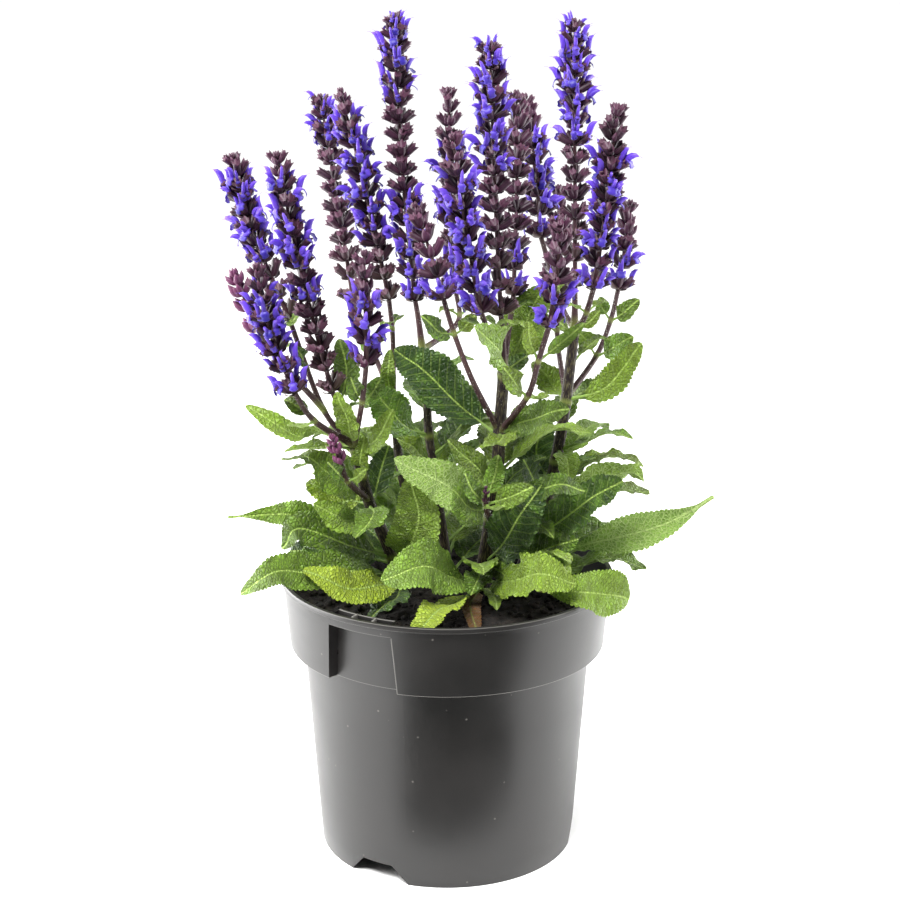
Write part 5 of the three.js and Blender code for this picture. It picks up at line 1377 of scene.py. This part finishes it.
def build_pot():
    """The pot's wall, swept round from one end of the recess to the other and on across it."""
    plain, recess = pot_profiles()
    columns = len(plain)
    # Two rows stand this close at each end of the recess, so that its corners stay crisp.
    edge = 0.0006
    shares = [0, 2 * edge, *[i / BODY_STEPS for i in range(1, BODY_STEPS)], 1 - 2 * edge, 1]
    rows = [(plain, share) for share in shares]
    rows += [(recess, mix(edge, 1 - edge, i / RECESS_STEPS)) for i in range(RECESS_STEPS + 1)]

    def place(row, column):
        row %= len(rows)
        profile, share = rows[row]
        (radius, height), painted_highlight = profile[column % columns]
        first, last = recess_ends(height)
        if profile is plain:
            # A painted highlight runs down the outer edge of the recess's right end, where light
            # catches it; the left end gets none.
            beside = row == 0 and radius > BODY_TOP_RADIUS + 4
            painted_highlight = RECESS_HIGHLIGHT if beside and COLLAR_BOTTOM <= height < RECESS["top"] else painted_highlight
            first, last = last, first + 360
        return on_circle(radius, mix(first, last, share), height), (painted_highlight, 0, 0)

    bm = bmesh.new()
    corners = sheet(bm, len(rows), columns, place)
    bmesh.ops.remove_doubles(bm, verts=corners, dist=POT_WELD)
    highlight_layer = tags(bm)[0]
    for angle in RECESS_RIBS:
        rib = on_circle(recess_radius(POT_HEIGHT) + 2.2, angle, RECESS["top"] + 4.7)
        turn = Matrix.Rotation(math.radians(angle), 4, "Z")
        made = bmesh.ops.create_cube(bm, size=1, matrix=Matrix.Translation(rib) @ turn
                                     @ Matrix.Diagonal((*RECESS_RIB, 1)))["verts"]
        # The ribs carry the same painted highlight all over.
        for vert in made:
            vert[highlight_layer] = (RECESS_HIGHLIGHT, 0, 0)
        bmesh.ops.bevel(bm, geom=list({e for v in made for e in v.link_edges}), offset=0.2,
                        segments=2, profile=0.5, affect="EDGES", material=-1)
    pot = finish_piece("pot", bm, [PLASTIC], ["nursery_pot"])
    cut_with(pot, drainage())
    pot.data.set_sharp_from_angle(angle=math.radians(SHARP_ANGLE))


def crumble(x, y):
    """The low lumps that the soil's solid has."""
    return (0.7 * math.sin(0.21 * x + 1.3) * math.cos(0.17 * y)
            + 0.5 * math.sin(0.43 * x - 0.39 * y)
            + 0.3 * math.cos(0.8 * x + 0.3) * math.sin(0.7 * y))


def soil_edge(angle):
    """How far out the soil reaches at an angle: to the wall, or to the back of the recess."""
    turn = (angle + 180) % 360 - 180
    if RECESS["from"] - 2 < turn < RECESS["to"] + 2:
        return recess_radius(SOIL_LEVEL) - WALL - SOIL_GAP
    return mix(COLLAR_BOTTOM_RADIUS, RIM_RADIUS - LIP_WIDTH + WALL, 0.6) - WALL - 0.6


def soil_height(x, y):
    mound = SOIL_MOUND * (1 - (x * x + y * y) / (SOIL_RADIUS * SOIL_RADIUS))
    lumps = noise.fractal(Vector((x, y, 3)) / 5.5, 1.0, 2.0, 4)
    return SOIL_LEVEL + mound + crumble(x, y) + 1.2 * lumps


def build_soil():
    def place(row, column):
        angle = 360 * (column % SOIL_SPOKES) / SOIL_SPOKES
        edge = soil_edge(angle)
        if row > SOIL_RINGS:
            out = edge if row == SOIL_RINGS + 1 else 0
            return (on_circle(out, angle, SOIL_LEVEL - SOIL_DEPTH),)
        spot = on_circle(edge * (row / SOIL_RINGS) ** 0.8, angle, 0)
        spot.z = soil_height(spot.x, spot.y)
        return (spot,)

    bm = bmesh.new()
    corners = sheet(bm, SOIL_RINGS + 2, SOIL_SPOKES, place)
    bmesh.ops.remove_doubles(bm, verts=corners, dist=WELD)
    finish_piece("soil_surface", bm, [SOIL], ["potting_soil"])


def strew_crumbs():
    """Loose grains and scraps of bark that lie on the soil."""
    rng = random.Random(11)
    bm = bmesh.new()
    for _ in range(CRUMBS):
        angle, share = rng.uniform(0, 360), math.sqrt(rng.random())
        spot = on_circle((soil_edge(angle) - 2.5) * share, angle, 0)
        size = rng.choice(CRUMB_SIZES)
        slim = rng.choice((1, 1, 0.7, 0.35))
        stretch = Matrix.Diagonal((size * rng.uniform(0.8, 1.8), size * slim, size * 0.7 * slim, 1))
        turn = Matrix.Rotation(rng.uniform(0, math.tau), 4, "Z") @ Matrix.Rotation(
            rng.uniform(-0.5, 0.5), 4, "Y")
        spot.z = soil_height(spot.x, spot.y) + 0.2 * size
        bmesh.ops.create_icosphere(bm, subdivisions=1, radius=1,
                                   matrix=Matrix.Translation(spot) @ turn @ stretch)
    finish_piece("soil_crumbs", bm, [SOIL], ["potting_soil"])


# ---------------------------------------------------------------- stage, light and camera

def lay_sheet(name, material, front, back, height):
    """A flat sheet of the stage. front and back are each its left and right end and its y."""
    bm = bmesh.new()
    for vert in bmesh.ops.create_grid(bm, x_segments=1, y_segments=1, size=1)["verts"]:
        left, right, y = back if vert.co.y > 0 else front
        vert.co = (right if vert.co.x > 0 else left, y, height)
    laid = put(name, mesh_of(bm, name))
    laid.data.materials.append(material)
    return laid


def build_stage():
    """White paper under everything, and a black card before the pot that only reflections show."""
    paper, _, shader = new_material("matt_white_paper")
    set_shader(shader, Base_Color="#f4f4f3", Roughness=0.9)
    lay_sheet("floor", paper, (-40, 40, -40), (-40, 40, 40), 0)
    card, _, shader = new_material("black_card")
    set_shader(shader, Base_Color="#060606", Roughness=0.9, Specular_IOR_Level=0.0)
    laid = lay_sheet("dark_card", card, (-1.0, 2.8, -1.7), (-0.072, 0.115, -0.117), 0.0006)
    laid.visible_camera = laid.visible_diffuse = laid.visible_shadow = False


def add_area_light(name, place, target, size, power):
    light = bpy.data.lights.new(name, "AREA")
    light.shape, light.size, light.energy = "SQUARE", size, power
    lamp = put(name, light)
    lamp.location = place
    lamp.rotation_euler = (Vector(target) - Vector(place)).to_track_quat("-Z", "Y").to_euler()
    lamp.visible_camera = False


def build_light():
    """A white tent, dark towards the camera, with a soft box behind each shoulder of the plant."""
    world = bpy.data.worlds.new("white_tent")
    world.use_nodes = True
    tree = world.node_tree
    toward = add(tree, "TexCoord", out="Generated")
    depth = add(tree, "SeparateXYZ", toward, out="Y")
    set_shader(tree.nodes["Background"], Color="#ffffff",
               Strength=add(tree, "MapRange", depth, -0.8, 0.3, 0.05, 0.6))
    bpy.context.scene.world = world
    add_area_light("left_box", (-1.05, 0.3, 0.45), (0, 0, 0.2), 1.3, 55)
    add_area_light("right_box", (1.05, 0.35, 0.45), (0, 0, 0.2), 1.2, 36)
    add_area_light("key_light", (-0.6, -1.1, 2.0), (0, 0, 0.3), 0.7, 62)
    sun = bpy.data.lights.new("overhead_light", "SUN")
    sun.energy, sun.angle = 2.7, math.radians(28)
    put("overhead_light", sun).rotation_euler = (math.radians(24), math.radians(-12), 0)


def build_camera():
    data = bpy.data.cameras.new("camera")
    data.sensor_width, data.lens = 36, CAMERA_LENS
    camera = put("camera", data)
    camera.location = CAMERA_PLACE
    camera.rotation_euler = (math.pi / 2 - CAMERA_DIP, 0, 0)
    bpy.context.scene.camera = camera


# ---------------------------------------------------------------- building

build_pot()
build_soil()
strew_crumbs()
for stem_name in STEMS:
    grow_leafy_stem(stem_name)
for spike_name in SPIKES:
    grow_spike(spike_name)
cover_in_down()

build_stage()
build_light()
build_camera()
bpy.context.scene.view_settings.view_transform = "Standard"
